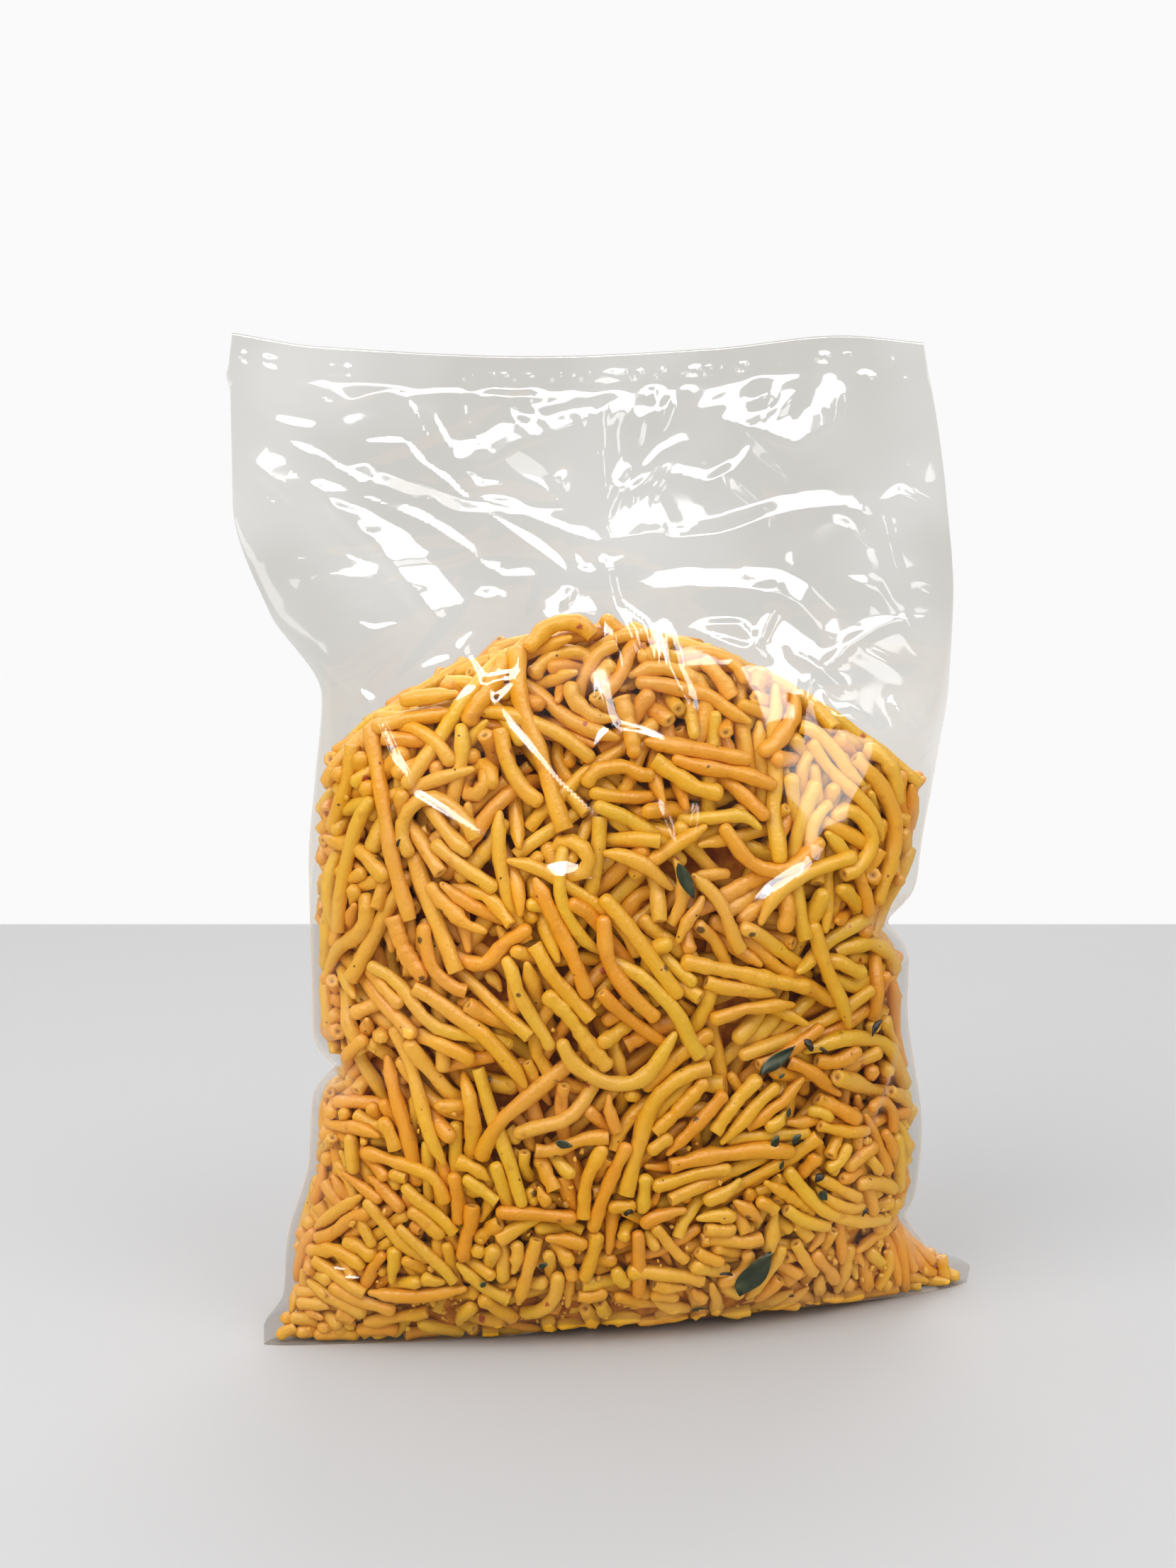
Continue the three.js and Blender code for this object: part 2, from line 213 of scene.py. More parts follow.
heap = {
    "seed": 7,
    "top": (240.0, 186.0),  # at its peak and at the bag's sides
    "peak": -6.0,
    "half": 107.0,
    "dome": 1.7,
    "shell": 18.0,  # how deep inside the film the loose sticks reach
    # each kind sets in over a range of heights, and lies more or less steep where it isn't in front
    "whole": {"count": 570, "length": (28, 68), "radius": (2.3, 2.85), "bend": 1.55, "setsIn": (62, 100),
              "steep": 0.8},
    "short": {"count": 1180, "length": (10, 33), "radius": (2.0, 2.65), "bend": 0.8, "setsIn": (100, 55),
              "steep": 0.5},
    "foremost": {"radius": (2.5, 2.95), "thinner": 0.4},  # thinner by this low down
    "form": (0.3, 0.16, 0.1, 0.1),  # spread of a stick's arc, wave, ripple and tilt
    "bentRound": (0.12, 3.5),  # share of the sticks with a longer arc, and how many times longer
    "topping": {"seed": 21, "count": 135, "half": 99, "deep": (3, 16), "clear": 6},  # over the heap's top
    "link": 4.6,  # spacing of the balls that stand for a stick while it settles
    "rounds": 200,
    "push": 0.85,  # share of an overlap that one round takes away
    "furthest": 2,  # most that one round moves a ball
    "within": 8.0,  # how near balls are to be looked at
    "stiffness": 6.0,  # how strongly a stick keeps the turn that it has
    "looseness": 0.75,  # spread of the sticks' angles about the front's flow
    "gap": (0.7, 3.0),  # between the sticks and the film, in front and at the sides
    "layer": 4.6,  # how much deeper each next layer of the front sticks lies
}

# How the sticks lie on the bag's front: a pixel of the photograph and the angle there, in degrees up
# from level, to the right.
flow = [
    (532, 1147, -75), (606, 1273, -64), (761, 1049, -72), (612, 1049, 28), (813, 1204, 75),
    (928, 1331, -54), (1060, 1377, -8), (1094, 1250, 28), (1146, 1136, 80), (1244, 1118, -55),
    (985, 1107, -18), (1003, 975, -75), (876, 975, 30), (704, 1434, -35), (492, 1227, 70),
    (985, 1503, 42), (1203, 1463, 12), (583, 1394, -20), (940, 1574, 50), (844, 1658, 68),
    (580, 1658, -28), (712, 1628, -72), (820, 1760, -18), (940, 1796, -22), (1089, 1724, 15),
    (1143, 1670, -45), (520, 1790, -3), (736, 1796, 66), (1239, 1760, -42), (1239, 1598, -60),
    (1059, 1580, 65),
]

# The sticks that lie foremost: the layer that each lies in, from the film inwards, and the pixels
# of the photograph that its middle line passes.
frontSticks = [
    (0, (503, 1024), (526, 1118), (549, 1216), (578, 1311)),
    (0, (563, 1202), (589, 1262), (618, 1319), (647, 1377)),
    (0, (727, 909), (733, 986), (759, 1055), (779, 1124), (799, 1181)),
    (0, (739, 923), (773, 886), (813, 880), (842, 900)),
    (1, (842, 874), (876, 894), (899, 929), (899, 958), (876, 975)),
    (1, (753, 946), (784, 915), (830, 912), (853, 946)),
    (0, (807, 958), (813, 986), (842, 1012), (876, 1015)),
    (0, (842, 969), (876, 940)),
    (0, (879, 975), (891, 1021), (899, 1072)),
    (0, (997, 923), (1014, 958), (1026, 998)),
    (0, (1117, 969), (1117, 1015), (1094, 1055), (1071, 1072)),
    (0, (1083, 946), (1071, 986)),
    (0, (937, 912), (928, 935), (916, 952)),
    (0, (698, 1021), (710, 1072), (733, 1113), (761, 1136)),
    (0, (569, 978), (612, 986), (658, 998)),
    (0, (761, 1233), (779, 1285), (802, 1348), (822, 1417)),
    (0, (850, 1265), (888, 1314), (922, 1365), (957, 1417)),
    (0, (845, 1291), (859, 1354), (894, 1400), (939, 1434)),
    (0, (965, 1365), (1054, 1380), (1152, 1394)),
    (1, (905, 1302), (939, 1331), (991, 1365)),
    (0, (1215, 1207), (1146, 1233), (1100, 1268), (1077, 1314)),
    (1, (1129, 1227), (1071, 1250), (1014, 1285), (991, 1296)),
    (1, (1014, 1291), (1071, 1325), (1112, 1365), (1198, 1423)),
    (0, (799, 1469), (819, 1509), (865, 1537), (916, 1532), (968, 1469)),
    (1, (879, 1486), (928, 1463), (980, 1443)),
    (0, (779, 1394), (807, 1428), (836, 1480), (859, 1514)),
    (0, (911, 1543), (957, 1497), (1014, 1457)),
    (1, (1152, 1072), (1158, 1130), (1146, 1181), (1129, 1216)),
    (0, (1209, 1061), (1255, 1107), (1278, 1158), (1272, 1216), (1249, 1285)),
    (0, (911, 1049), (957, 1055), (1014, 1064), (1071, 1075)),
    (0, (916, 1070), (957, 1095), (991, 1113), (1026, 1118)),
    (0, (549, 1285), (566, 1342), (595, 1388)),
    (1, (635, 1239), (687, 1199), (727, 1159)),
    (1, (853, 1141), (848, 1204), (836, 1273), (813, 1331)),
    (0, (894, 1239), (945, 1199), (1003, 1159)),
    (1, (716, 1354), (727, 1394), (721, 1440)),
    (1, (629, 1434), (658, 1469), (687, 1486)),
    (0, (670, 1508), (688, 1574), (712, 1646), (730, 1712)),
    (1, (736, 1502), (745, 1544), (760, 1604)),
    (0, (502, 1631), (562, 1646), (610, 1664), (631, 1700)),
    (1, (544, 1511), (586, 1544), (628, 1568), (676, 1580)),
    (1, (634, 1592), (640, 1664), (670, 1694), (700, 1652)),
    (1, (478, 1574), (520, 1598), (562, 1622)),
    (0, (916, 1604), (952, 1562), (988, 1514)),
    (0, (937, 1631), (988, 1586), (1029, 1544)),
    (0, (1011, 1610), (1041, 1562), (1077, 1520)),
    (0, (820, 1730), (832, 1670), (862, 1622)),
    (0, (832, 1742), (856, 1682), (892, 1616)),
    (0, (688, 1748), (736, 1730), (790, 1712)),
    (0, (418, 1772), (466, 1772), (508, 1796)),
    (0, (454, 1829), (502, 1841), (556, 1844)),
    (0, (508, 1829), (580, 1835), (658, 1823)),
    (0, (430, 1748), (466, 1718), (502, 1694)),
    (1, (460, 1757), (508, 1730), (550, 1706)),
    (0, (730, 1850), (745, 1796), (760, 1748)),
    (0, (1113, 1658), (1143, 1694), (1173, 1718), (1227, 1727), (1269, 1718)),
    (0, (1077, 1673), (1119, 1688), (1167, 1712)),
]


leaves = {
    "room": 2.6,  # how far the sticks stand back behind a leaf
    "thickness": 0.35,
    "grid": (15, 9),
    "seedGrid": (12, 10),
    # each material: the noise's scale and detail, its colours, the bump's strength and depth, roughness
    "leafLooks": ((260, 4), ((0.3, (0.014, 0.026, 0.010)), (0.55, (0.032, 0.052, 0.020)),
                             (0.75, (0.075, 0.085, 0.030))), (0.5, 0.0006), 0.5),
    "seedLooks": ((700, 3), ((0.35, (0.010, 0.007, 0.004)), (0.7, (0.045, 0.028, 0.014))),
                  (0.8, 0.0004), 0.5),
    # pixel of the photograph, length, width and angle up from level
    "flat": [
        ((969, 1243), 12.6, 4.6, -67), ((1099, 1497), 15.3, 5.0, 34), ((1067, 1800), 19.5, 10.5, 63),
        ((796, 1616), 5.8, 2.8, -15), ((1096, 1612), 4.6, 3.2, 60), ((1126, 1608), 4.2, 3.0, 45),
        ((1115, 1571), 3.4, 1.7, 80), ((1164, 1689), 4.6, 3.3, -50), ((1105, 1645), 3.4, 1.5, 70),
        ((989, 1851), 5.8, 3.0, 5), ((766, 1788), 3.2, 2.4, 20), ((682, 1815), 2.8, 2.0, 50),
        ((1105, 1519), 2.6, 1.5, 30),
    ],
    # dark twisted seeds and stalks: pixel, length, thickness and angle
    "dark": [
        ((1242, 1451), 7.2, 1.7, 45), ((1144, 1477), 5.2, 2.6, -55), ((1164, 1484), 3.4, 1.4, -40),
        ((888, 1714), 3.4, 2.6, 20), ((1026, 1802), 5.2, 1.2, -10), ((1224, 1713), 3.6, 1.1, 50),
        ((1160, 1665), 4.2, 2.2, 30), ((1118, 1832), 2.2, 0.7, 0), ((561, 1189), 2.8, 1.1, 70),
    ],
}


def reachAt(x, z):
    # how far the bag reaches on the side that each x is on
    return np.where(x >= 0, reach("right", z), reach("left", z))


def onFilm(pixels):
    # the film's frame where each pixel of the photograph falls on its front sheet
    spot = seenOnFront(pixels)
    share = np.clip(spot[:, 0] / reachAt(spot[:, 0], spot[:, 2]), -1, 1)
    turn = (2 * np.pi - np.arccos(share)) / (2 * np.pi)
    return (spot,) + filmFrame(turn, spot[:, 2])[1:]


leafSpots = [(onFilm([pixel])[0][0], length / 2) for pixel, length, _, _ in leaves["flat"] + leaves["dark"]]


def heapTop(x):
    # a dome over the shoulders
    across = np.clip(np.abs(x - heap["peak"]) / heap["half"], 0, 1)
    peak, shoulder = heap["top"]
    return shoulder + (peak - shoulder) * (1 - across ** heap["dome"])


def restShapes(length, bend, draw, samples=33):
    # centre lines whose heading is a0 t + a1 sin(2 pi (t + c)), added up step by step; one in eight
    # is bent far round
    t = np.linspace(-0.5, 0.5, samples)
    count = len(length)
    bowed, waved, rippled, tilted = heap["form"]
    chance, longer = heap["bentRound"]
    arc = draw.normal(0, bowed, (count, 1)) * bend
    arc *= np.where(draw.random((count, 1)) < chance, longer, 1)
    wave = draw.normal(0, waved, (count, 1)) * bend
    ripple = draw.normal(0, rippled, (count, 1)) * np.sin(2 * np.pi * (2.5 * t + draw.random((count, 1))))
    heading = arc * 2 * t + wave * np.sin(2 * np.pi * (t + draw.random((count, 1)))) + ripple
    tilt = draw.normal(0, tilted, (count, 1)) * np.sin(2 * np.pi * (t + draw.random((count, 1))))
    step = np.stack((np.cos(heading) * np.cos(tilt), np.sin(heading) * np.cos(tilt), np.sin(tilt)), -1)
    step *= (length / (samples - 1))[:, None, None]
    line = np.concatenate((np.zeros((count, 1, 3)), np.cumsum((step[:, 1:] + step[:, :-1]) / 2, 1)), 1)
    return line - line.mean(1, keepdims=True)


def insideBag(p):
    # how far each point lies outside the film along its level normal: g / |grad g|, with
    # g = u^2 + |v|^(2/edge) - 1, u = x / W and v = (y - shift u^2) / D
    x, y, z = p.T
    width, depth, edge, shift = sectionAt(z, x >= 0, y >= 0)
    u = x / width
    v = (y - shift * u * u) / depth
    power = 2 / edge
    g = u * u + np.abs(v) ** power - 1
    gx = 2 * u / width
    gy = power * np.abs(v) ** (power - 1) * np.sign(v) / depth
    size = np.maximum(np.hypot(gx, gy), 1e-4)
    return g / size, gx / size, gy / size


def filmGap(p):
    # wider by u^6 towards the sides, and round each leaf, which lies between film and sticks
    width = reachAt(p[:, 0], p[:, 2])
    front, side = heap["gap"]
    gap = front + (side - front) * np.clip(np.abs(p[:, 0]) / width, 0, 1) ** 6
    for spot, reachOut in leafSpots:
        away = ((p[:, 0] - spot[0]) ** 2 + (p[:, 2] - spot[2]) ** 2) / reachOut ** 2
        gap += leaves["room"] * np.exp(-away) * (p[:, 1] < 0)
    return gap


def closePairs(p, reachTo):
    # every pair of points within reach, found cell by cell in a grid of cubes of that size
    cell = np.floor((p - p.min(0)) / reachTo).astype(np.int64) + 1
    size = cell.max(0) + 2
    key = (cell[:, 0] * size[1] + cell[:, 1]) * size[2] + cell[:, 2]
    order = np.argsort(key, kind="stable")
    ranked = key[order]
    steps = [(0, 0, 0), (0, 0, 1)] + [(0, 1, k) for k in (-1, 0, 1)]
    steps += [(1, j, k) for j in (-1, 0, 1) for k in (-1, 0, 1)]
    firsts, seconds = [], []
    for i, j, k in steps:
        goal = ranked + (i * size[1] + j) * size[2] + k
        start, end = np.searchsorted(ranked, goal, "left"), np.searchsorted(ranked, goal, "right")
        count = end - start
        first = np.repeat(np.arange(len(p)), count)
        offset = np.arange(count.sum()) - np.repeat(np.cumsum(count) - count, count)
        second = np.repeat(start, count) + offset
        if (i, j, k) == (0, 0, 0):
            first, second = first[second > first], second[second > first]
        firsts.append(order[first])
        seconds.append(order[second])
    first, second = np.concatenate(firsts), np.concatenate(seconds)
    near = np.linalg.norm(p[first] - p[second], axis=1) < reachTo
    return first[near], second[near]


def footLift(x, y):
    # the foot's front edge stands a little off the table, from the middle to the right
    height, start, end = bag["footLift"]
    return height * smooth(start, start + 30, x) * smooth(end, end - 25, x) * smooth(0, -15, y)


def placed(middle, turnAt, owner, rest):
    # each ball's place: its stick's middle, plus the ball's own offset turned with the stick
    return middle[owner] + np.einsum("nij,nj->ni", turnAt[owner], rest)


def settle(balls, radius, ease, owner, starts, rest, turnAt, rounds):
    # balls that overlap push each other apart, the film and the core push them back, and each stick
    # then takes the turn and place that fit its balls best, so it keeps its own form
    count = np.diff(np.append(starts, len(balls)))[:, None]
    for step in range(rounds):
        if step % 8 == 0:
            a, b = closePairs(balls, heap["within"])
            other = owner[a] != owner[b]
            a, b = a[other], b[other]
            shareA = (ease[a] / (ease[a] + ease[b]))[:, None]
        gap = balls[b] - balls[a]
        far = np.linalg.norm(gap, axis=1) + 1e-6
        overlap = np.maximum(radius[a] + radius[b] - far, 0)
        push = gap * (heap["push"] * overlap / far)[:, None]
        pushA, pushB = push * shareA, push * (1 - shareA)
        moved = np.stack([np.bincount(b, pushB[:, k], len(balls)) - np.bincount(a, pushA[:, k], len(balls))
                          for k in range(3)], 1)
        balls = balls + np.clip(moved, -heap["furthest"], heap["furthest"])
        out, nx, ny = insideBag(balls)
        over = np.maximum(out + radius + filmGap(balls), 0)
        top = heapTop(balls[:, 0])
        under = np.maximum(-heap["shell"] - out, 0) * (balls[:, 2] < top - heap["shell"])
        shove = np.minimum(under, 1.0) - over
        balls[:, 0] += nx * shove
        balls[:, 1] += ny * shove
        balls[:, 2] -= np.clip(balls[:, 2] + radius - top, 0, 1.5) * (ease > 0.5)
        balls[:, 2] -= 0.1 * np.clip(1 - balls[:, 2] / 14, 0, 1)
        balls[:, 2] = np.maximum(balls[:, 2], radius + 0.4 + footLift(balls[:, 0], balls[:, 1]))
        middle = np.add.reduceat(balls, starts) / count
        spread = (balls - middle[owner])[:, :, None] * rest[:, None, :]
        fit = np.add.reduceat(spread, starts) + heap["stiffness"] * turnAt
        left, _, right = np.linalg.svd(fit)
        left[:, :, 2] *= np.sign(np.linalg.det(left @ right))[:, None]
        turnAt = left @ right
        balls = placed(middle, turnAt, owner, rest)
    spare = balls[:, 2] - radius - 0.6 - footLift(balls[:, 0], balls[:, 1])
    middle[:, 2] -= np.minimum(np.minimum.reduceat(spare, starts), 0)
    return middle, turnAt


def flowAngle(x, z, draw):
    # the front's flow at each place: a mean of the doubled angles, weighted by 1 / distance^2
    table = np.array(flow, float)
    spot = seenOnFront(table[:, :2])
    away = (x[:, None] - spot[:, 0]) ** 2 + (z[:, None] - spot[:, 2]) ** 2 + 60
    double = 2 * np.radians(table[:, 2])
    c, s = (np.cos(double) / away).sum(1), (np.sin(double) / away).sum(1)
    return np.arctan2(s, c) / 2 + draw.normal(0, heap["looseness"], len(x))


def layOut(draw):
    # sticks shared out evenly by the film's area, whole ones in the upper heap and broken ones low down
    turn, z = np.meshgrid((np.arange(240) + 0.5) / 240, np.arange(4.0, heap["top"][0], 4.0))
    turn, z = turn.ravel(), z.ravel()
    here, normal, around, up = filmFrame(turn, z)
    cellArea = (np.linalg.norm(filmPoint(turn + 0.5 / 240, z) - filmPoint(turn - 0.5 / 240, z), axis=1)
                * (z < heapTop(here[:, 0]) - 3))
    parts = []
    for name in ("whole", "short"):
        spec = heap[name]
        count = spec["count"]
        chance = cellArea * (smooth(*spec["setsIn"], z) * 0.95 + 0.05) * (1 + 0.7 * smooth(90, 20, z))
        share = (np.arange(count) + draw.random(count)) / count
        pick = np.searchsorted(np.cumsum(chance / chance.sum()), share).clip(0, len(turn) - 1)
        length = draw.uniform(*spec["length"], count)
        length *= 1 - 0.35 * draw.random(count) ** 2
        radius = draw.uniform(*spec["radius"], count)
        depth = radius + heap["gap"][0] + draw.random(count) * (heap["shell"] - 2 * radius)
        place = here[pick] - normal[pick] * depth[:, None] + draw.normal(0, 1.5, (count, 3))
        loose = draw.normal(0, spec["steep"], count)
        inFront = here[pick, 1] < -10
        angle = np.where(inFront, flowAngle(place[:, 0], place[:, 2], draw), loose)
        ahead = around[pick] * np.cos(angle)[:, None] + up[pick] * np.sin(angle)[:, None]
        turnAt = np.stack((ahead, np.cross(normal[pick], ahead), normal[pick]), -1)
        line = restShapes(length, spec["bend"], draw)
        parts.append((np.full(count, name), length, radius, place, turnAt, line))
    parts.append(overTop())
    return [np.concatenate(x) for x in zip(*parts)]


def overTop():
    # whole sticks laid nearly level between the two sheets, just under the heap's dome
    spec, whole = heap["topping"], heap["whole"]
    draw = np.random.default_rng(spec["seed"])
    count = spec["count"]
    x = draw.uniform(-spec["half"], spec["half"], count)
    z = heapTop(x) - draw.uniform(*spec["deep"], count)
    front, back = sheetY(x, z, False) + spec["clear"], sheetY(x, z, True) - spec["clear"]
    place = np.stack((x, front + (back - front) * draw.random(count), z), 1)
    angle, tilt = draw.normal(0, 0.6, count), draw.normal(0, 0.3, count)
    tilt -= 0.5 * np.sign(x - heap["peak"]) * np.cos(angle) * smooth(0, heap["half"], np.abs(x))
    ahead = np.stack((np.cos(angle) * np.cos(tilt), np.sin(angle) * np.cos(tilt), np.sin(tilt)), 1)
    side = unit(np.cross((0, 0, 1), ahead))
    turnAt = np.stack((ahead, side, np.cross(ahead, side)), -1)
    length = draw.uniform(*whole["length"], count) * 0.85
    radius = draw.uniform(*whole["radius"], count)
    return np.full(count, "whole"), length, radius, place, turnAt, restShapes(length, whole["bend"], draw)


def through(points, samples=33):
    # a Catmull-Rom curve through the points, shared out evenly by length
    points = np.asarray(points, float)
    ends = np.vstack((2 * points[0] - points[1], points, 2 * points[-1] - points[-2]))
    t = np.linspace(0, len(points) - 1 - 1e-9, 200)
    i = t.astype(int)
    f = (t - i)[:, None]
    a, b, c, d = ends[i], ends[i + 1], ends[i + 2], ends[i + 3]
    curve = 0.5 * (2 * b + (c - a) * f + (2 * a - 5 * b + 4 * c - d) * f ** 2
                   + (3 * b - a - 3 * c + d) * f ** 3)
    run = np.append(0, np.cumsum(np.linalg.norm(np.diff(curve, axis=0), axis=1)))
    even = np.linspace(0, run[-1], samples)
    return np.stack([np.interp(even, run, curve[:, k]) for k in range(3)], 1)


def frontLines(draw):
    # the foremost sticks' middle lines, each a radius and its layers inside the front sheet
    spec = heap["foremost"]
    lines, radii = [], []
    for layer, *pixels in frontSticks:
        spot, normal, _, _ = onFilm(pixels)
        radius = draw.uniform(*spec["radius"]) - spec["thinner"] * smooth(110, 70, spot[:, 2].mean())
        lines.append(through(spot - normal * (radius + heap["gap"][0] + 0.2 + layer * heap["layer"])))
        radii.append(radius)
    return np.array(lines), np.array(radii)


def lineLength(line):
    # the sum of the steps along each line
    return np.linalg.norm(np.diff(line, axis=1), axis=2).sum(1)


def pointsAt(line, row, spot):
    # the points at fractional places along the lines, a (1 - f) + b f between neighbours a and b
    i = np.minimum(spot.astype(int), line.shape[1] - 2)
    f = (spot - i)[..., None]
    return line[row, i] * (1 - f) + line[row, i + 1] * f


def settledSticks():
    # every stick as a chain of balls a link apart, settled, and its middle line moved along with it
    draw = np.random.default_rng(heap["seed"])
    kind, length, radius, place, turnAt, line = layOut(draw)
    front, frontRadius = frontLines(draw)
    middle = front.mean(1)
    kind = np.append(kind, np.full(len(front), "front"))
    length = np.append(length, lineLength(front))
    radius = np.append(radius, frontRadius)
    place = np.vstack((place, middle))
    turnAt = np.concatenate((turnAt, np.tile(np.eye(3), (len(front), 1, 1))))
    line = np.concatenate((line, front - middle[:, None]))

    links = np.maximum(3, np.round(length / heap["link"]).astype(int) + 1)
    starts = np.cumsum(links) - links
    owner = np.repeat(np.arange(len(length)), links)
    along = (np.arange(links.sum()) - starts[owner]) / (links[owner] - 1)
    inset = radius[owner] / length[owner]
    rest = pointsAt(line, owner, (inset + along * (1 - 2 * inset)) * (line.shape[1] - 1))
    middle = np.add.reduceat(rest, starts) / links[:, None]
    rest -= middle[owner]
    line -= middle[:, None]
    place = place + np.einsum("sij,sj->si", turnAt, middle)
    balls = placed(place, turnAt, owner, rest)
    ease = np.where(kind == "front", 0.04, 1.0)[owner]
    middle, turnAt = settle(balls, radius[owner], ease, owner, starts, rest, turnAt, heap["rounds"])
    line = middle[:, None] + np.einsum("sij,snj->sni", turnAt, line)
    return kind, length, radius, line


kind, length, radius, line = settledSticks()
print("sticks settled:", len(length))


def linked(name, data):
    # a new object in the scene, at the origin
    piece = bpy.data.objects.new(name, data)
    bpy.context.scene.collection.objects.link(piece)
    return piece


def meshObject(name, points, faces, material, colours=None):
    # one object at the origin, from points in millimetres and a list of face arrays
    mesh = bpy.data.meshes.new(name)
    loops = np.concatenate([f.ravel() for f in faces]).astype(np.int32)
    sizes = np.concatenate([np.full(len(f), f.shape[1]) for f in faces])
    mesh.vertices.add(len(points))
    mesh.vertices.foreach_set("co", (points * mm).astype(np.float32).ravel())
    mesh.loops.add(len(loops))
    mesh.loops.foreach_set("vertex_index", loops)
    mesh.polygons.add(len(sizes))
    mesh.polygons.foreach_set("loop_start", (np.cumsum(sizes) - sizes).astype(np.int32))
    mesh.update(calc_edges=True)
    mesh.validate()
    mesh.polygons.foreach_set("use_smooth", np.ones(len(mesh.polygons), bool))
    for key, values in (colours or {}).items():
        layer = mesh.attributes.new(key, "FLOAT", "POINT")
        layer.data.foreach_set("value", values.astype(np.float32))
    mesh.materials.append(material)
    piece = linked(name, mesh)
    print(name, len(mesh.vertices), "points")
    return piece


stick = {
    "seed": 11,
    "across": (0.31, 0.77, 0.55),  # a way that no stick runs along
    "trim": 0.8,  # of the radius, left off each end of the middle line for the cap
    "waves": (0.042, (1, 2, 3.5, 6)),  # spread of the thickness, and how many waves lie along a stick
    "lumps": (0.06, 0.035),
    "twist": 2.5,  # most turns that the lumps make along a stick
    "ends": (0.5, 0.22, 0.28),  # chances of a rounded, a drawn out and a cut end
    "drawnOver": 7,  # length over which an end is drawn out, times 0.5 to 1.5
    # for each kind of end two more rings and a middle point: outward step and share of the radius
    "caps": (((0.42, 0.82), (0.68, 0.45), (0.75, 0)), ((0.6, 0.78), (1.0, 0.4), (1.1, 0)),
             ((0.12, 0.93), (0.06, 0.5), (-0.25, 0))),
    "divided": (("front", 20, 12), ("whole", 10, 7), ("short", 6, 6)),  # rings along, sides round
}


def sweptSticks(name, line, radius, draw, material, rings, sides):
    # a section carried along each centre line, r (1 + waves along it) (1 + l2 sin(2 a + w) + l3
    # sin(3 a - 2 w)), a the angle round it, w the twist, each end rounded, drawn out or cut off
    count = len(line)
    lengths = lineLength(line)
    trim = stick["trim"] * (radius / lengths)[:, None]
    pick = (trim + np.linspace(0, 1, rings) * (1 - 2 * trim)) * (line.shape[1] - 1)
    path = pointsAt(line, np.arange(count)[:, None], pick)
    ahead = unit(np.gradient(path, axis=1))
    side = unit(np.cross(ahead, np.array(stick["across"])))
    other = np.cross(ahead, side)
    t = np.linspace(0, 1, rings)[None, :]
    spread, counts = stick["waves"]
    waves = sum(draw.normal(0, spread, (count, 1)) * np.sin(2 * np.pi * (k * t + draw.random((count, 1))))
                for k in counts)
    size = radius[:, None] * (1 + waves)
    ends = []
    for end in (0, 1):
        style = draw.choice(3, count, p=stick["ends"])
        fromEnd = (t if end == 0 else 1 - t) * lengths[:, None]
        drawn = 0.5 + 0.5 * smooth(0, 1, fromEnd / (stick["drawnOver"] * (0.5 + draw.random((count, 1)))))
        size = np.where((style == 1)[:, None], size * drawn, size)
        ends.append(style)
    angle = 2 * np.pi * np.arange(sides) / sides
    ring = side[:, :, None] * np.cos(angle)[:, None] + other[:, :, None] * np.sin(angle)[:, None]
    most = stick["twist"]
    twist = draw.random((count, 1, 1)) + t[:, :, None] * draw.uniform(-most, most, (count, 1, 1))
    twist = 2 * np.pi * twist
    two, three = stick["lumps"]
    lumps = 1 + two * np.sin(2 * angle + twist) + three * np.sin(3 * angle - 2 * twist)
    ring *= lumps[..., None]
    body = path[:, :, None] + ring * size[:, :, None, None]
    caps = np.array(stick["caps"], float)
    extra, paleExtra = [], []
    for end, style in zip((0, -1), ends):
        sign = -1 if end == 0 else 1
        step, share = caps[style, :, 0], caps[style, :, 1]
        base, out, r = path[:, end], ahead[:, end] * sign, size[:, end]
        made = [base[:, None] + (out * (r * step[:, k])[:, None])[:, None]
                + ring[:, end] * (r * share[:, k])[:, None, None] for k in range(2)]
        extra.append((made, base + out * (r * step[:, 2])[:, None]))
        paleExtra.append(style == 2)
    (firstMade, firstPole), (lastMade, lastPole) = extra
    stack = [firstMade[1], firstMade[0]] + [body[:, k] for k in range(rings)] + [lastMade[0], lastMade[1]]
    tube = np.stack(stack, 1)
    total = rings + 4
    points = np.concatenate((tube.reshape(count, -1, 3), firstPole[:, None], lastPole[:, None]), 1)
    each = total * sides + 2
    quads = ringQuads(sides, total)
    s = np.arange(sides)
    n = (s + 1) % sides
    tris = np.concatenate((np.stack((n, s, np.full(sides, total * sides)), -1),
                           np.stack((s + (total - 1) * sides, n + (total - 1) * sides,
                                     np.full(sides, total * sides + 1)), -1)))
    shift = (np.arange(count) * each)[:, None, None]
    faces = [(quads[None] + shift).reshape(-1, 4), (tris[None] + shift).reshape(-1, 3)]
    pale = np.zeros((count, each))
    pale[:, :sides] = pale[:, -2:-1] = paleExtra[0][:, None]
    pale[:, (total - 1) * sides:-2] = pale[:, -1:] = paleExtra[1][:, None]
    # marks the cut ends' middle points, which are darkened as painted shade in the hollow
    holeShade = np.zeros((count, each))
    holeShade[:, -2], holeShade[:, -1] = paleExtra[0], paleExtra[1]
    tone = np.repeat(draw.random(count), each)
    piece = meshObject(name, points.reshape(-1, 3), faces, material,
                       {"pale": pale.ravel(), "holeShade": holeShade.ravel(), "tone": tone})
    return contents(piece)


def newMaterial(name):
    # a material and a maker of its nodes: sockets take a value or another node's output
    material = bpy.data.materials.new(name)
    material.use_nodes = True
    tree = material.node_tree
    tree.nodes.clear()
    return material, nodeMaker(tree)


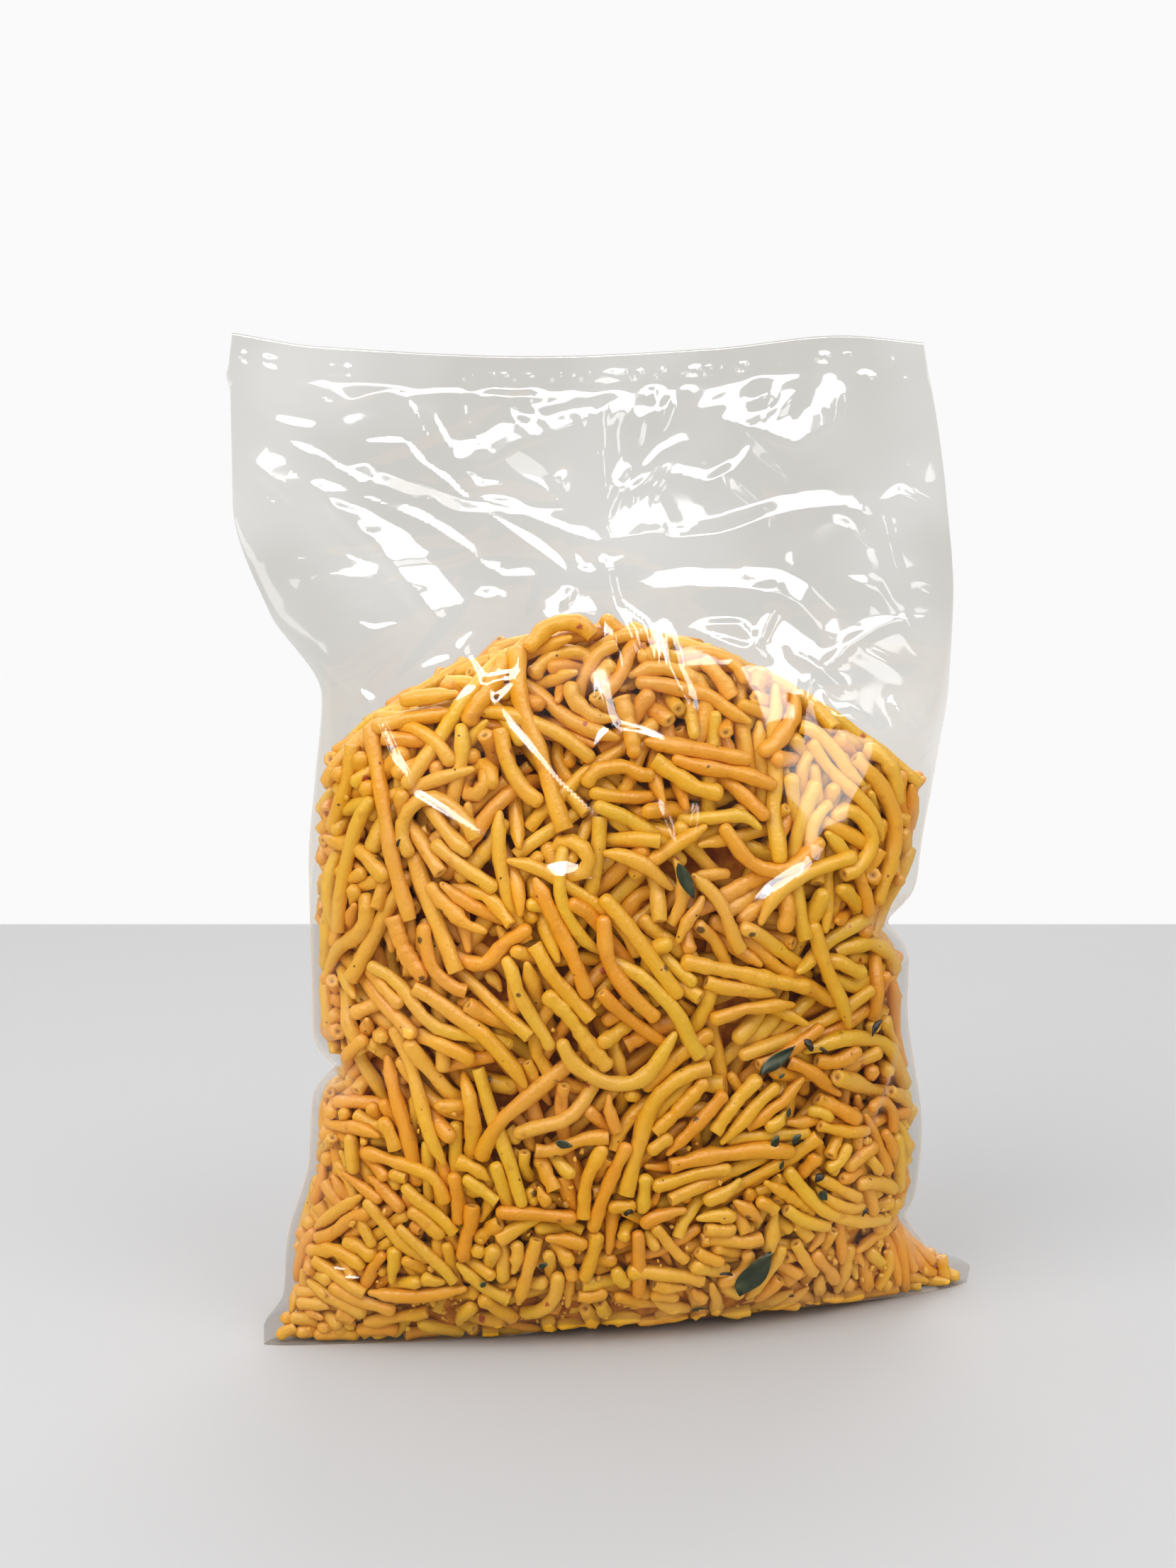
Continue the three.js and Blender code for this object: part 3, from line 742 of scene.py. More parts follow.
def nodeMaker(tree):
    # adds one node to the tree, with its sockets' values or links and its settings
    def add(kind, inputs=None, **settings):
        node = tree.nodes.new("ShaderNode" + kind)
        for key, value in settings.items():
            setattr(node, key, value)
        for key, value in (inputs or {}).items():
            if isinstance(value, bpy.types.NodeSocket):
                tree.links.new(value, node.inputs[key])
            else:
                node.inputs[key].default_value = value
        return node

    return add


def maths(add, kind, a, b=0.5, c=0.0):
    # one sum, such as a b or a b + c
    return add("Math", {0: a, 1: b, 2: c}, operation=kind).outputs[0]


def ramp(add, factor, *stops):
    # a colour ramp with its stops given as (place, colour)
    node = add("ValToRGB", {"Fac": factor})
    elements = node.color_ramp.elements
    while len(elements) < len(stops):
        elements.new(0.5)
    for element, (place, colour) in zip(elements, stops):
        element.position = place
        element.color = (*colour, 1)
    return node.outputs["Color"]


def blended(add, factor, a, b):
    # colour a where the factor is 0, b where it is 1
    return add("Mix", {"Factor": factor, "A": a, "B": b}, data_type="RGBA").outputs["Result"]


def mixShaders(add, factor, a, b):
    # shader a where the factor is 0, b where it is 1
    return add("MixShader", {0: factor, 1: a.outputs[0], 2: b.outputs[0]})


def noise(add, place, scale, detail):
    # soft noise from 0 to 1
    return add("TexNoise", {"Vector": place, "Scale": scale, "Detail": detail}).outputs["Fac"]


def between(add, value, start, end, low=0.0, high=1.0, **settings):
    # low at start and high at end, and held there beyond them
    return add("MapRange", {"Value": value, "From Min": start, "From Max": end, "To Min": low,
                            "To Max": high}, **settings).outputs["Result"]


def surface(add, colour, height, bump, roughness, gloss=0.5):
    # a surface with the height as a bump of a strength and depth, joined to the material's output
    strength, depth = bump
    normal = add("Bump", {"Height": height, "Strength": strength, "Distance": depth}).outputs["Normal"]
    shader = add("BsdfPrincipled", {"Base Color": colour, "Roughness": roughness,
                                    "Specular IOR Level": gloss, "Normal": normal})
    add("OutputMaterial", {"Surface": shader.outputs["BSDF"]})


def mottled(name, grain, stops, bump, roughness, gloss=0.5):
    # a material whose colour and bump both follow one noise of a scale and detail
    material, add = newMaterial(name)
    height = noise(add, add("TexCoord").outputs["Object"], *grain)
    surface(add, ramp(add, height, *stops), height, bump, roughness, gloss)
    return material


dough = {
    "orange": (0.78, 0.315, 0.006),
    "gold": (0.79, 0.40, 0.008),
    "yellow": (0.79, 0.455, 0.018),
    "blush": (0.81, 0.40, 0.085),
    "browned": (0.50, 0.14, 0.006),
    "cut": (0.80, 0.44, 0.07),
    # the middle of a cut end: painted shade inside its hollow
    "paintedHollowShade": (0.30, 0.08, 0.006),
    # specks: spacing and size in metres, the share of the places left bare, the share that is red, and
    # the two colours
    "specks": [
        (0.0058, 0.00042, 0.35, 0.7, (0.035, 0.022, 0.010), (0.30, 0.060, 0.012)),
        (0.0120, 0.00105, 0.32, 0.5, (0.10, 0.045, 0.015), (0.42, 0.050, 0.012)),
    ],
    "roughness": (0.38, 0.52),
    "gloss": 0.4,
    "bump": (0.55, 0.0005),
    # scale and detail of each noise
    "clouds": (70, 3),
    "blushes": (22, 2),
    "spots": (190, 4),
    "ragged": (1500, 1),
    "fine": (800, 2),
}


def friedDough():
    # the sticks' tone, with clouds of gold, blushes, browned spots, dark and red specks and pale ends
    material, add = newMaterial("friedDough")
    place = add("TexCoord").outputs["Object"]
    tone = add("Attribute", attribute_name="tone").outputs["Fac"]
    clouds, wide, spots, ragged, fine = (noise(add, place, *dough[key])
                                         for key in ("clouds", "blushes", "spots", "ragged", "fine"))
    mixed = maths(add, "MULTIPLY_ADD", clouds, 0.9, maths(add, "SUBTRACT", tone, 0.45))
    base = ramp(add, mixed, (0.05, dough["orange"]), (0.5, dough["gold"]), (0.95, dough["yellow"]))
    base = blended(add, between(add, wide, 0.48, 0.72, 0, 0.6), base, (*dough["blush"], 1))
    base = blended(add, between(add, spots, 0.63, 0.8, 0, 0.6), base, (*dough["browned"], 1))
    for spacing, size, bare, redFrom, dark, red in dough["specks"]:
        cells = add("TexVoronoi", {"Vector": place, "Scale": 1 / spacing})
        chance = add("SeparateColor", {"Color": cells.outputs["Color"]})
        reachOut = maths(add, "MULTIPLY_ADD", chance.outputs["Blue"], size / spacing, 0.4 * size / spacing)
        away = maths(add, "DIVIDE", cells.outputs["Distance"], reachOut)
        away = maths(add, "MULTIPLY_ADD", ragged, 1.2, away)
        near = between(add, away, 1.4, 1.8, 0.9, 0)
        some = maths(add, "GREATER_THAN", chance.outputs["Red"], bare)
        isRed = maths(add, "GREATER_THAN", chance.outputs["Green"], redFrom)
        speck = blended(add, isRed, (*dark, 1), (*red, 1))
        base = blended(add, maths(add, "MULTIPLY", near, some), base, speck)
    pale = add("Attribute", attribute_name="pale").outputs["Fac"]
    holeShade = add("Attribute", attribute_name="holeShade").outputs["Fac"]
    base = blended(add, pale, base, (*dough["cut"], 1))
    # a cut end's middle point turns dark: painted shade inside the hollow
    base = blended(add, holeShade, base, (*dough["paintedHollowShade"], 1))
    relief = maths(add, "MULTIPLY_ADD", spots, 1.6, fine)
    surface(add, base, relief, dough["bump"], between(add, clouds, 0.3, 0.7, *dough["roughness"]),
            dough["gloss"])
    return material


core = {
    "inset": 13.5,
    "foot": 2.5,
    "turns": 96,
    "rows": 60,
    "bump": 1.6,
    "top": 226.0,
    "grain": (180, 4),
    # dough colours darkened as painted shade, for the depth of the heap seen between the sticks
    "colours": ((0.35, (0.26, 0.060, 0.003)), (0.7, (0.60, 0.22, 0.010))),
    "relief": (1, 0.002),
    "roughness": 0.7,
    "gloss": 0.15,
}


def packedCore():
    # the film's section drawn in by the inset, under a cap that closes as (1 - s^8)^(1/3), with bumps
    turn, share = np.meshgrid(np.arange(core["turns"]) / core["turns"], np.linspace(0, 1, core["rows"]))
    turn, share = turn.ravel(), share.ravel()
    z = core["foot"] + (core["top"] - core["foot"]) * share
    here, normal, _, _ = filmFrame(turn, z)
    inset = core["inset"] * (0.4 + 0.6 * smooth(0, 30, z))
    x = (here[:, 0] - normal[:, 0] * inset) * (0.88 + 0.11 * smooth(0, 26, z))
    y = here[:, 1] - normal[:, 1] * inset
    cap = (1 - share ** 8) ** (1 / 3)
    across = np.clip(np.abs(x * cap - heap["peak"]) / heap["half"], 0, 1)
    lowered = (heap["top"][0] - heap["top"][1]) * across ** heap["dome"] * smooth(0.3, 1, share)
    bumps = core["bump"] * np.sin(x * 0.9 + 2 * np.sin(z * 0.31)) * np.sin(z * 1.1 + 3 * np.sin(x * 0.23))
    points = np.stack((x * cap, y * cap + bumps * np.sign(y), z - lowered), -1)
    faces = tubeFaces(core["turns"], core["rows"])
    # the core's colours are dough in painted shade
    material = mottled("shadedPackedDough", core["grain"], core["colours"], core["relief"], core["roughness"],
                       core["gloss"])
    return contents(meshObject("packedCore", points, faces, material))


def contents(piece):
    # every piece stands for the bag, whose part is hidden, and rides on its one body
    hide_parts("bag")
    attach(piece, "root")
    return piece


def ringQuads(turns, rows):
    # quads between each ring of points and the next
    k, s = np.meshgrid(np.arange(rows - 1), np.arange(turns), indexing="ij")
    n = (s + 1) % turns
    quads = np.stack((k * turns + s, k * turns + n, (k + 1) * turns + n, (k + 1) * turns + s), -1)
    return quads.reshape(-1, 4)


def tubeFaces(turns, rows):
    # quads round a tube, and strips that close its first and last rings flat
    faces = [ringQuads(turns, rows)]
    half = np.arange(1, turns // 2 - 1)
    for row, flip in ((0, True), (rows - 1, False)):
        strip = np.stack((half, half + 1, turns - half - 1, turns - half), -1) + row * turns
        caps = np.array([[0, 1, turns - 1], [turns // 2 - 1, turns // 2, turns // 2 + 1]]) + row * turns
        faces += [strip[:, ::-1] if flip else strip, caps[:, ::-1] if flip else caps]
    return faces


draw = np.random.default_rng(stick["seed"])
fried = friedDough()
for name, rings, sides in stick["divided"]:
    mine = kind == name
    sweptSticks(name + "Sticks", line[mine], radius[mine], draw, fried, rings, sides)
packedCore()


def alongFilm(pixel, degrees, deep):
    # a place just inside the film at a pixel, with the ways along, across and out of it
    spot, normal, around, up = (part[0] for part in onFilm([pixel]))
    turn = math.radians(degrees)
    ahead = around * math.cos(turn) + up * math.sin(turn)
    side = up * math.cos(turn) - around * math.sin(turn)
    return spot - normal * deep, ahead, side, normal


def curryLeaves():
    # half the width at u is W (sin pi u)^0.7 (1.15 - 0.4 u), with a ripple and a curl out of the plane
    rows, columns = leaves["grid"]
    u, v = np.meshgrid(np.linspace(0, 1, rows), np.linspace(-1, 1, columns), indexing="ij")
    index = np.arange(rows * columns).reshape(rows, columns)
    corner = index[:-1, :-1].ravel()
    top = np.stack((corner, corner + columns, corner + columns + 1, corner + 1), -1)
    rim = np.concatenate((index[:, 0], index[-1, 1:], index[-2::-1, -1], index[0, -2:0:-1]))
    following = np.roll(rim, -1)
    edge = np.stack((following, rim, rim + index.size, following + index.size), -1)
    points, faces = [], []
    for number, (pixel, length, width, degrees) in enumerate(leaves["flat"]):
        middle, ahead, side, normal = alongFilm(pixel, degrees, 1.0)
        half = width / 2 * np.sin(np.pi * np.clip(u, 0.004, 0.996)) ** 0.7 * (1.15 - 0.4 * u)
        ripple = 0.035 * length * np.sin(5 * u + 2.5 * v + number) - 0.05 * width * v * v
        sheet = middle + ahead * ((u - 0.5) * length)[..., None] + side * (half * v)[..., None]
        sheet += normal * ripple[..., None]
        thick = leaves["thickness"] / 2 * np.sqrt(1 - 0.999 * v * v)[..., None] * normal
        points += [(sheet + thick).reshape(-1, 3), (sheet - thick).reshape(-1, 3)]
        faces += [f + 2 * number * index.size for f in (top, top[:, ::-1] + index.size, edge)]
    material = mottled("friedLeaf", *leaves["leafLooks"])
    return contents(meshObject("curryLeaves", np.concatenate(points), faces, material))


def darkSeeds():
    # a twisted grain of radius T / 2 (sin pi u)^0.5 (1 + 0.3 sin(2 a + 5 u)) at u, a the angle round it
    rows, turns = leaves["seedGrid"]
    u, a = np.meshgrid(np.linspace(0.03, 0.97, rows), 2 * np.pi * np.arange(turns) / turns, indexing="ij")
    points, faces = [], []
    for number, (pixel, length, thickness, degrees) in enumerate(leaves["dark"]):
        middle, ahead, side, normal = alongFilm(pixel, degrees, thickness / 2 + 0.6)
        r = thickness / 2 * np.sqrt(np.sin(np.pi * u)) * (1 + 0.3 * np.sin(2 * a + 5 * u + number))
        bow = 0.12 * length * np.sin(np.pi * u)
        grain = (middle + ahead * ((u - 0.5) * length)[..., None] + side * (r * np.cos(a) + bow)[..., None]
                 + normal * (r * np.sin(a))[..., None])
        points.append(grain.reshape(-1, 3))
        faces += [f + number * u.size for f in tubeFaces(turns, rows)]
    material = mottled("darkSeed", *leaves["seedLooks"])
    return contents(meshObject("darkSeeds", np.concatenate(points), faces, material))


curryLeaves()
darkSeeds()


crumbs = {
    "seed": 3,
    "tried": 5000,
    "count": 420,  # at most
    "radius": (0.35, 1.1),
    "rings": (0.13, 0.38, 0.62, 0.87),  # share of the way from a grain's foot to its top
    "sides": 6,
    "rawness": 0.7,  # most of a grain's paleness
    "height": 27.0,  # mean height over the foot
    "deep": (1.4, 7.0),  # inside the film
    "side": 0.9,  # none beyond this share of the way to the bag's sides
    "clear": 3.1,  # from the sticks' middle lines
    "below": 125,
    "rough": 0.22,  # spread of a grain's form
}


def crumbPiece():
    # grains of four rings of six, r (1 + rough noise), where the sticks leave room, most of them low down
    draw = np.random.default_rng(crumbs["seed"])
    tried = crumbs["tried"]
    turn = draw.random(tried)
    z = 2 + draw.exponential(crumbs["height"], tried)
    low = z < crumbs["below"]
    turn, z = turn[low], z[low]
    inner = np.abs(np.cos(2 * np.pi * turn)) < crumbs["side"]
    here, normal, _, _ = filmFrame(turn[inner], z[inner])
    place = here - normal * draw.uniform(*crumbs["deep"], (len(here), 1))
    for spot, reachOut in leafSpots:
        place = place[np.linalg.norm(place - spot, axis=1) > reachOut + 1]
    sticks = line[:, ::2].reshape(-1, 3)
    a, b = closePairs(np.vstack((place, sticks)), crumbs["clear"])
    first, second = np.minimum(a, b), np.maximum(a, b)
    crowded = np.unique(first[(first < len(place)) & (second >= len(place))])
    place = np.delete(place, crowded, 0)
    place = place[place[:, 2] > 1.2 + footLift(place[:, 0], place[:, 1])][:crumbs["count"]]
    sides, rings = crumbs["sides"], len(crumbs["rings"])
    polar = np.pi * np.array(crumbs["rings"])[:, None]
    angle = 2 * np.pi * np.arange(sides) / sides
    grain = np.stack((np.sin(polar) * np.cos(angle), np.sin(polar) * np.sin(angle),
                      -np.cos(polar + 0 * angle)), -1)
    size = draw.uniform(*crumbs["radius"], (len(place), 1)) * draw.uniform(0.6, 1.3, (len(place), 3))
    rough = 1 + crumbs["rough"] * draw.normal(0, 1, (len(place), rings, sides, 1))
    points = place[:, None, None] + grain * rough * size[:, None, None]
    shift = (np.arange(len(place)) * rings * sides)[:, None, None]
    faces = [(f[None] + shift).reshape(-1, f.shape[1]) for f in tubeFaces(sides, rings)]
    each = np.repeat(draw.random(len(place)), rings * sides)
    colours = {"pale": each * crumbs["rawness"], "holeShade": each * 0, "tone": 1 - each}
    return contents(meshObject("crumbs", points.reshape(-1, 3), faces, fried, colours))


crumbPiece()


folds = {
    # Folds of the front sheet: height, width of the flank to the left of the way they are drawn, width
    # of the other flank, and the pixels of the photograph that the crest passes.
    "front": [
        (3.4, 9, 3, (625, 650), (686, 654), (725, 628), (816, 598)),
        (2.6, 5, 5, (850, 745), (848, 660), (846, 575)),
        (4.5, 15, 4, (837, 768), (890, 762), (946, 750)),
        (2.4, 4, 3.5, (838, 768), (855, 816), (863, 857), (896, 912)),
        (1.8, 3.5, 3, (388, 618), (450, 648), (510, 688)),
        (3.2, 7, 3, (496, 690), (536, 676)),
        (2.2, 3, 5, (600, 702), (571, 636)),
        (2.6, 4.5, 3, (566, 630), (621, 679), (639, 700), (686, 729), (761, 782), (815, 824)),
        (2.2, 5, 3, (655, 698), (714, 721), (834, 768)),
        (2.8, 6, 3.5, (494, 694), (550, 721), (586, 736), (621, 757), (654, 779), (691, 813)),
        (7.0, 12, 5, (436, 676), (489, 732), (532, 771), (571, 821), (614, 873), (626, 900)),
        (1.3, 2.6, 2.6, (598, 856), (658, 929), (716, 1026), (784, 1107), (866, 1182)),
        (5.6, 10, 4, (340, 640), (400, 690), (443, 732)),
        (3.4, 6, 3, (325, 645), (352, 688)),
        (1.9, 3.5, 3, (336, 686), (396, 716), (457, 757), (531, 841)),
        (1.8, 3, 3, (362, 854), (407, 879), (457, 929), (520, 990), (552, 1070), (583, 1124), (629, 1153),
         (713, 1204)),
        (2.4, 7, 6, (678, 830), (718, 913)),
        (2.3, 9, 3, (760, 884), (800, 872), (841, 864)),
        (2.4, 7, 5, (841, 814), (911, 768), (1007, 757), (1103, 727), (1214, 712)),
        (2.8, 8, 5, (872, 818), (922, 835), (970, 831), (1092, 838), (1122, 853), (1163, 892)),
        (1.3, 2.8, 2.8, (1033, 938), (1072, 898), (1100, 842)),
        (2.0, 5, 3, (938, 670), (996, 683), (1040, 665), (1067, 622)),
        (3.8, 9, 3, (1012, 592), (1077, 616), (1122, 631), (1174, 598), (1183, 546)),
        (2.4, 4, 4, (1238, 722), (1266, 698), (1320, 722)),
        (2.2, 4, 4, (1276, 850), (1259, 798), (1240, 722)),
        (1.4, 3, 4, (1133, 1024), (1140, 961), (1200, 905), (1276, 866)),
        (1.6, 2.5, 2.5, (1272, 866), (1284, 892), (1298, 918)),
        (0.9, 2.6, 2.6, (840, 1064), (852, 1040), (866, 1029), (900, 1036), (941, 1050)),
        (2.8, 6, 3, (758, 1246), (800, 1238), (838, 1248)),
        (3.4, 5, 3, (1047, 1304), (1088, 1262), (1152, 1217)),
        (1.4, 2.8, 2.8, (950, 1198), (922, 1128)),
        (1.4, 2.8, 2.8, (964, 1190), (976, 1134)),
        (2.6, 8, 4, (546, 1428), (610, 1404), (672, 1394)),
        (5.0, 5, 3, (452, 1784), (500, 1810), (560, 1832)),
        (2.4, 6, 4, (1190, 1640), (1230, 1560), (1263, 1468)),
        (2.0, 5, 3, (556, 560), (640, 550), (720, 562), (800, 552)),
        (2.6, 7, 3, (480, 574), (520, 560), (557, 546)),
        (2.2, 6, 3, (1052, 576), (1070, 566), (1087, 552)),
        (3.2, 12, 5, (1292, 1872), (1278, 1790), (1276, 1712)),
        (3.0, 6, 12, (446, 1900), (440, 1840), (442, 1768)),
    ],
    # Small creases of the front sheet that fan out from one point of the header, the back sheet's main
    # folds by x and height, and smaller ones of it: how many, how steep or high, how wide and long
    "fan": {"seed": 9, "count": 120, "centre": (841, 816), "slope": (0.22, 0.6), "width": (1.8, 4.4),
            "length": (8, 34), "x": (-118, 112), "z": (205, 318)},
    "backMain": [
        (5.0, 8, 12, (92, 292), (60, 262), (34, 236)),
        (4.0, 9, 5, (-96, 300), (-52, 284), (-6, 280)),
        (4.0, 6, 10, (-84, 250), (-40, 262), (8, 258)),
        (3.2, 6, 6, (44, 308), (30, 282), (26, 262)),
    ],
    "back": {"seed": 4, "count": 46, "height": (1.2, 3.4), "width": (3, 9), "length": (20, 80),
             "x": (-95, 95), "z": (40, 315)},
    "cell": 26.0,  # of the soft dents between the folds
    "dent": 2.4,
    "dentSeeds": (1, 2),  # of the front and back sheets
    "glintSeed": 5,
    # along the seal: spacing, place over it, width and height
    "sealGlints": [(1.8, 2.5, 1.7, 2.0), (6.0, -4.0, 3.0, 1.8)],
}

film = {
    "turns": 400,
    "rows": (70, 170),  # below and above the heap's shoulder
    "shoulder": 150.0,
    "tint": ((0.848, 0.836, 0.815), (0.925, 0.917, 0.900)),  # dull and clear parts; the clearer patches are a painted soft sheen
    "sheenPatches": (13, 2),  # scale and detail of the noise that parts them
    "mirror": (0.05, 0.55),  # straight on and at a glance
    "glance": 4.5,  # how suddenly the mirror grows towards a glance
    "roughness": (0.04, 0.13),
    "clouds": (30, 3),  # scale and detail of the noise that it follows
    "blur": (0.14, 0.21),  # share and roughness of a softer mirror
    "rim": (0.65, 9.0),  # how milky it gets at a glance, and how suddenly
}


def roofHeight(x, z, table):
    # each fold is a roof, height (1 - d / w) (sin pi s)^0.5, with w the flank's width, s along its crest
    tallest, total = np.zeros(len(x)), np.zeros(len(x))
    for height, left, right, path in table:
        margin = max(left, right)
        lowest, highest = path.min(0) - margin, path.max(0) + margin
        near = np.flatnonzero((x > lowest[0]) & (x < highest[0]) & (z > lowest[1]) & (z < highest[1]))
        px, pz = x[near], z[near]
        best, side, along = np.full(len(near), 1e9), np.ones(len(near)), np.zeros(len(near))
        run = 0.0
        for a, b in zip(path[:-1], path[1:]):
            reachOut = np.linalg.norm(b - a)
            ahead = (b - a) / reachOut
            t = np.clip((px - a[0]) * ahead[0] + (pz - a[1]) * ahead[1], 0, reachOut)
            dx, dz = px - a[0] - t * ahead[0], pz - a[1] - t * ahead[1]
            away = np.hypot(dx, dz)
            closer = away < best
            best = np.where(closer, away, best)
            side = np.where(closer, np.sign(ahead[0] * dz - ahead[1] * dx), side)
            along = np.where(closer, run + t, along)
            run += reachOut
        roof = height * np.clip(1 - best / np.where(side > 0, left, right), 0, 1)
        roof *= np.sin(np.pi * np.clip(along / run, 0.02, 0.98)) ** 0.5
        tallest[near] = np.maximum(tallest[near], roof)
        total[near] += roof
    return tallest + 0.4 * (total - tallest)


def dents(x, z, seed):
    # the squared distance to the nearest of a jittered grid of points: bowls that meet in sharp ridges
    cell = folds["cell"]
    draw = np.random.default_rng(seed)
    shift = draw.random((40, 40, 2))
    u, v = (x + 0.6 * z) / cell / 1.5 + 15, (z - 0.3 * x) / cell + 15
    nearest = np.full(len(x), 9.0)
    for i in (-1, 0, 1):
        for j in (-1, 0, 1):
            a, b = np.floor(u).astype(int) + i, np.floor(v).astype(int) + j
            spot = shift[a % 40, b % 40]
            nearest = np.minimum(nearest, (u - a - spot[..., 0]) ** 2 + (v - b - spot[..., 1]) ** 2)
    return nearest


def bowedPath(middle, step, bend):
    # three points: the middle less and plus the step, and between them the middle moved aside by the bend
    return np.array([middle - step, middle + np.array([-step[1], step[0]]) * bend, middle + step])


def fanFolds():
    # short folds that point away from the fan's centre, each with a small bow
    spec = folds["fan"]
    lowest, highest = spec["z"]
    draw = np.random.default_rng(spec["seed"])
    centre = seenOnFront([spec["centre"]])[0, [0, 2]]
    table = []
    for _ in range(spec["count"]):
        middle = np.array([draw.uniform(*spec["x"]), lowest + (highest - lowest) * draw.random() ** 0.8])
        away = middle - centre
        angle = math.atan2(away[1], away[0]) + draw.normal(0, 0.3)
        step = np.array([math.cos(angle), math.sin(angle)]) * draw.uniform(*spec["length"]) / 2
        step *= math.copysign(1, step[0])
        path = bowedPath(middle, step, draw.normal(0, 0.25))
        left, right = draw.uniform(*spec["width"], 2)
        plain = 0.3 if middle[0] > 12 and middle[1] > 245 and draw.random() < 0.6 else 1  # the smooth part
        table.append((plain * left * draw.uniform(*spec["slope"]), left, right, path))
    return table


def backFolds():
    # the back's main folds, and random ones that lie more level than upright
    spec = folds["back"]
    lowest, highest = spec["z"]
    draw = np.random.default_rng(spec["seed"])
    table = [(height, left, right, np.array(path)) for height, left, right, *path in folds["backMain"]]
    for _ in range(spec["count"]):
        length, angle = draw.uniform(*spec["length"]), draw.normal(0, 0.9)
        middle = np.array([draw.uniform(*spec["x"]), lowest + (highest - lowest) * draw.random() ** 0.6])
        step = np.array([math.cos(angle), math.sin(angle)]) * length / 2
        path = bowedPath(middle, step, draw.normal(0, 0.2))
        height, left, right = (draw.uniform(*spec[key]) for key in ("height", "width", "width"))
        table.append((height, left, right, path))
    return table


def filmOffset(turn, z, x):
    # folds and dents, fading out at the sides, the foot and the seal, and glints along the seal
    front = np.sin(2 * np.pi * turn) < 0
    drawn = [(h, left, right, seenOnFront(pixels)[:, [0, 2]]) for h, left, right, *pixels in folds["front"]]
    raised = np.where(front, roofHeight(x, z, drawn + fanFolds()), roofHeight(x, z, backFolds()))
    soft = np.where(front, *(dents(x, z, seed) for seed in folds["dentSeeds"]))
    raised += folds["dent"] * soft * (0.25 + 0.75 * smooth(222, 250, z))
    raised *= 1 - np.abs(np.cos(2 * np.pi * turn)) ** 16
    raised *= smooth(2, 14, z) * (1 - smooth(315, 325, z))
    draw = np.random.default_rng(folds["glintSeed"])
    for spacing, above, width, height in folds["sealGlints"]:
        node = np.arange(-140, 141, spacing)
        glint = np.interp(x, node, draw.random(len(node))) ** 2
        raised += height * glint * np.exp(-((z - bag["seal"] - above) / width) ** 2)
    return raised


def clearFilm():
    # see-through with a pale tint, and a mirror whose share grows as a + b f^g towards a glancing view
    material, add = newMaterial("clearFilm")
    place = add("TexCoord").outputs["Object"]
    facing = add("LayerWeight", {"Blend": 0.5}).outputs["Facing"]
    base, glance = film["mirror"]
    share = maths(add, "MULTIPLY_ADD", maths(add, "POWER", facing, film["glance"]), glance, base)
    rough = between(add, noise(add, place, *film["clouds"]), 0.35, 0.7, *film["roughness"])
    part, blur = film["blur"]
    sharp = add("BsdfAnisotropic", {"Color": (1, 1, 1, 1), "Roughness": rough})
    soft = add("BsdfAnisotropic", {"Color": (1, 1, 1, 1), "Roughness": blur})
    mirror = mixShaders(add, part, sharp, soft)
    dull, bright = film["tint"]
    # where the noise is high the film lets more through: a painted soft sheen
    sheenPatch = between(add, noise(add, place, *film["sheenPatches"]), 0.44, 0.68)
    clear = add("BsdfTransparent", {"Color": blended(add, sheenPatch, (*dull, 1), (*bright, 1))})
    both = mixShaders(add, share, clear, mirror)
    most, power = film["rim"]
    rim = maths(add, "MULTIPLY", maths(add, "POWER", facing, power), most)
    milky = add("BsdfTranslucent", {"Color": (1, 1, 1, 1)})
    whole = mixShaders(add, rim, both, milky)
    add("OutputMaterial", {"Surface": whole.outputs["Shader"]})
    return material


def filmPiece():
    # columns stand closer round the bag's sides than across its sheets: share 0.75 of x, 0.25 of angle
    fine = np.linspace(0, np.pi, 2001)
    share = 0.75 * (1 - np.cos(fine)) / 2 + 0.25 * fine / np.pi
    half = np.interp(np.linspace(0, 1, film["turns"] // 2 + 1), share, fine)[:-1]
    columns = np.concatenate((half, half + np.pi)) / (2 * np.pi)
    low, high = film["rows"]
    heights = np.concatenate((np.linspace(0, film["shoulder"], low, endpoint=False),
                              np.linspace(film["shoulder"], bag["height"], high)))
    turn, z = (part.ravel() for part in np.meshgrid(columns, heights))
    here, normal, _, _ = filmFrame(turn, z)
    points = here + normal * filmOffset(turn, z, here[:, 0])[:, None]
    points[:, 2] += footLift(here[:, 0], here[:, 1]) * smooth(12, 0, z)
    piece = meshObject("film", points, tubeFaces(film["turns"], low + high), clearFilm())
    return contents(piece)


filmPiece()


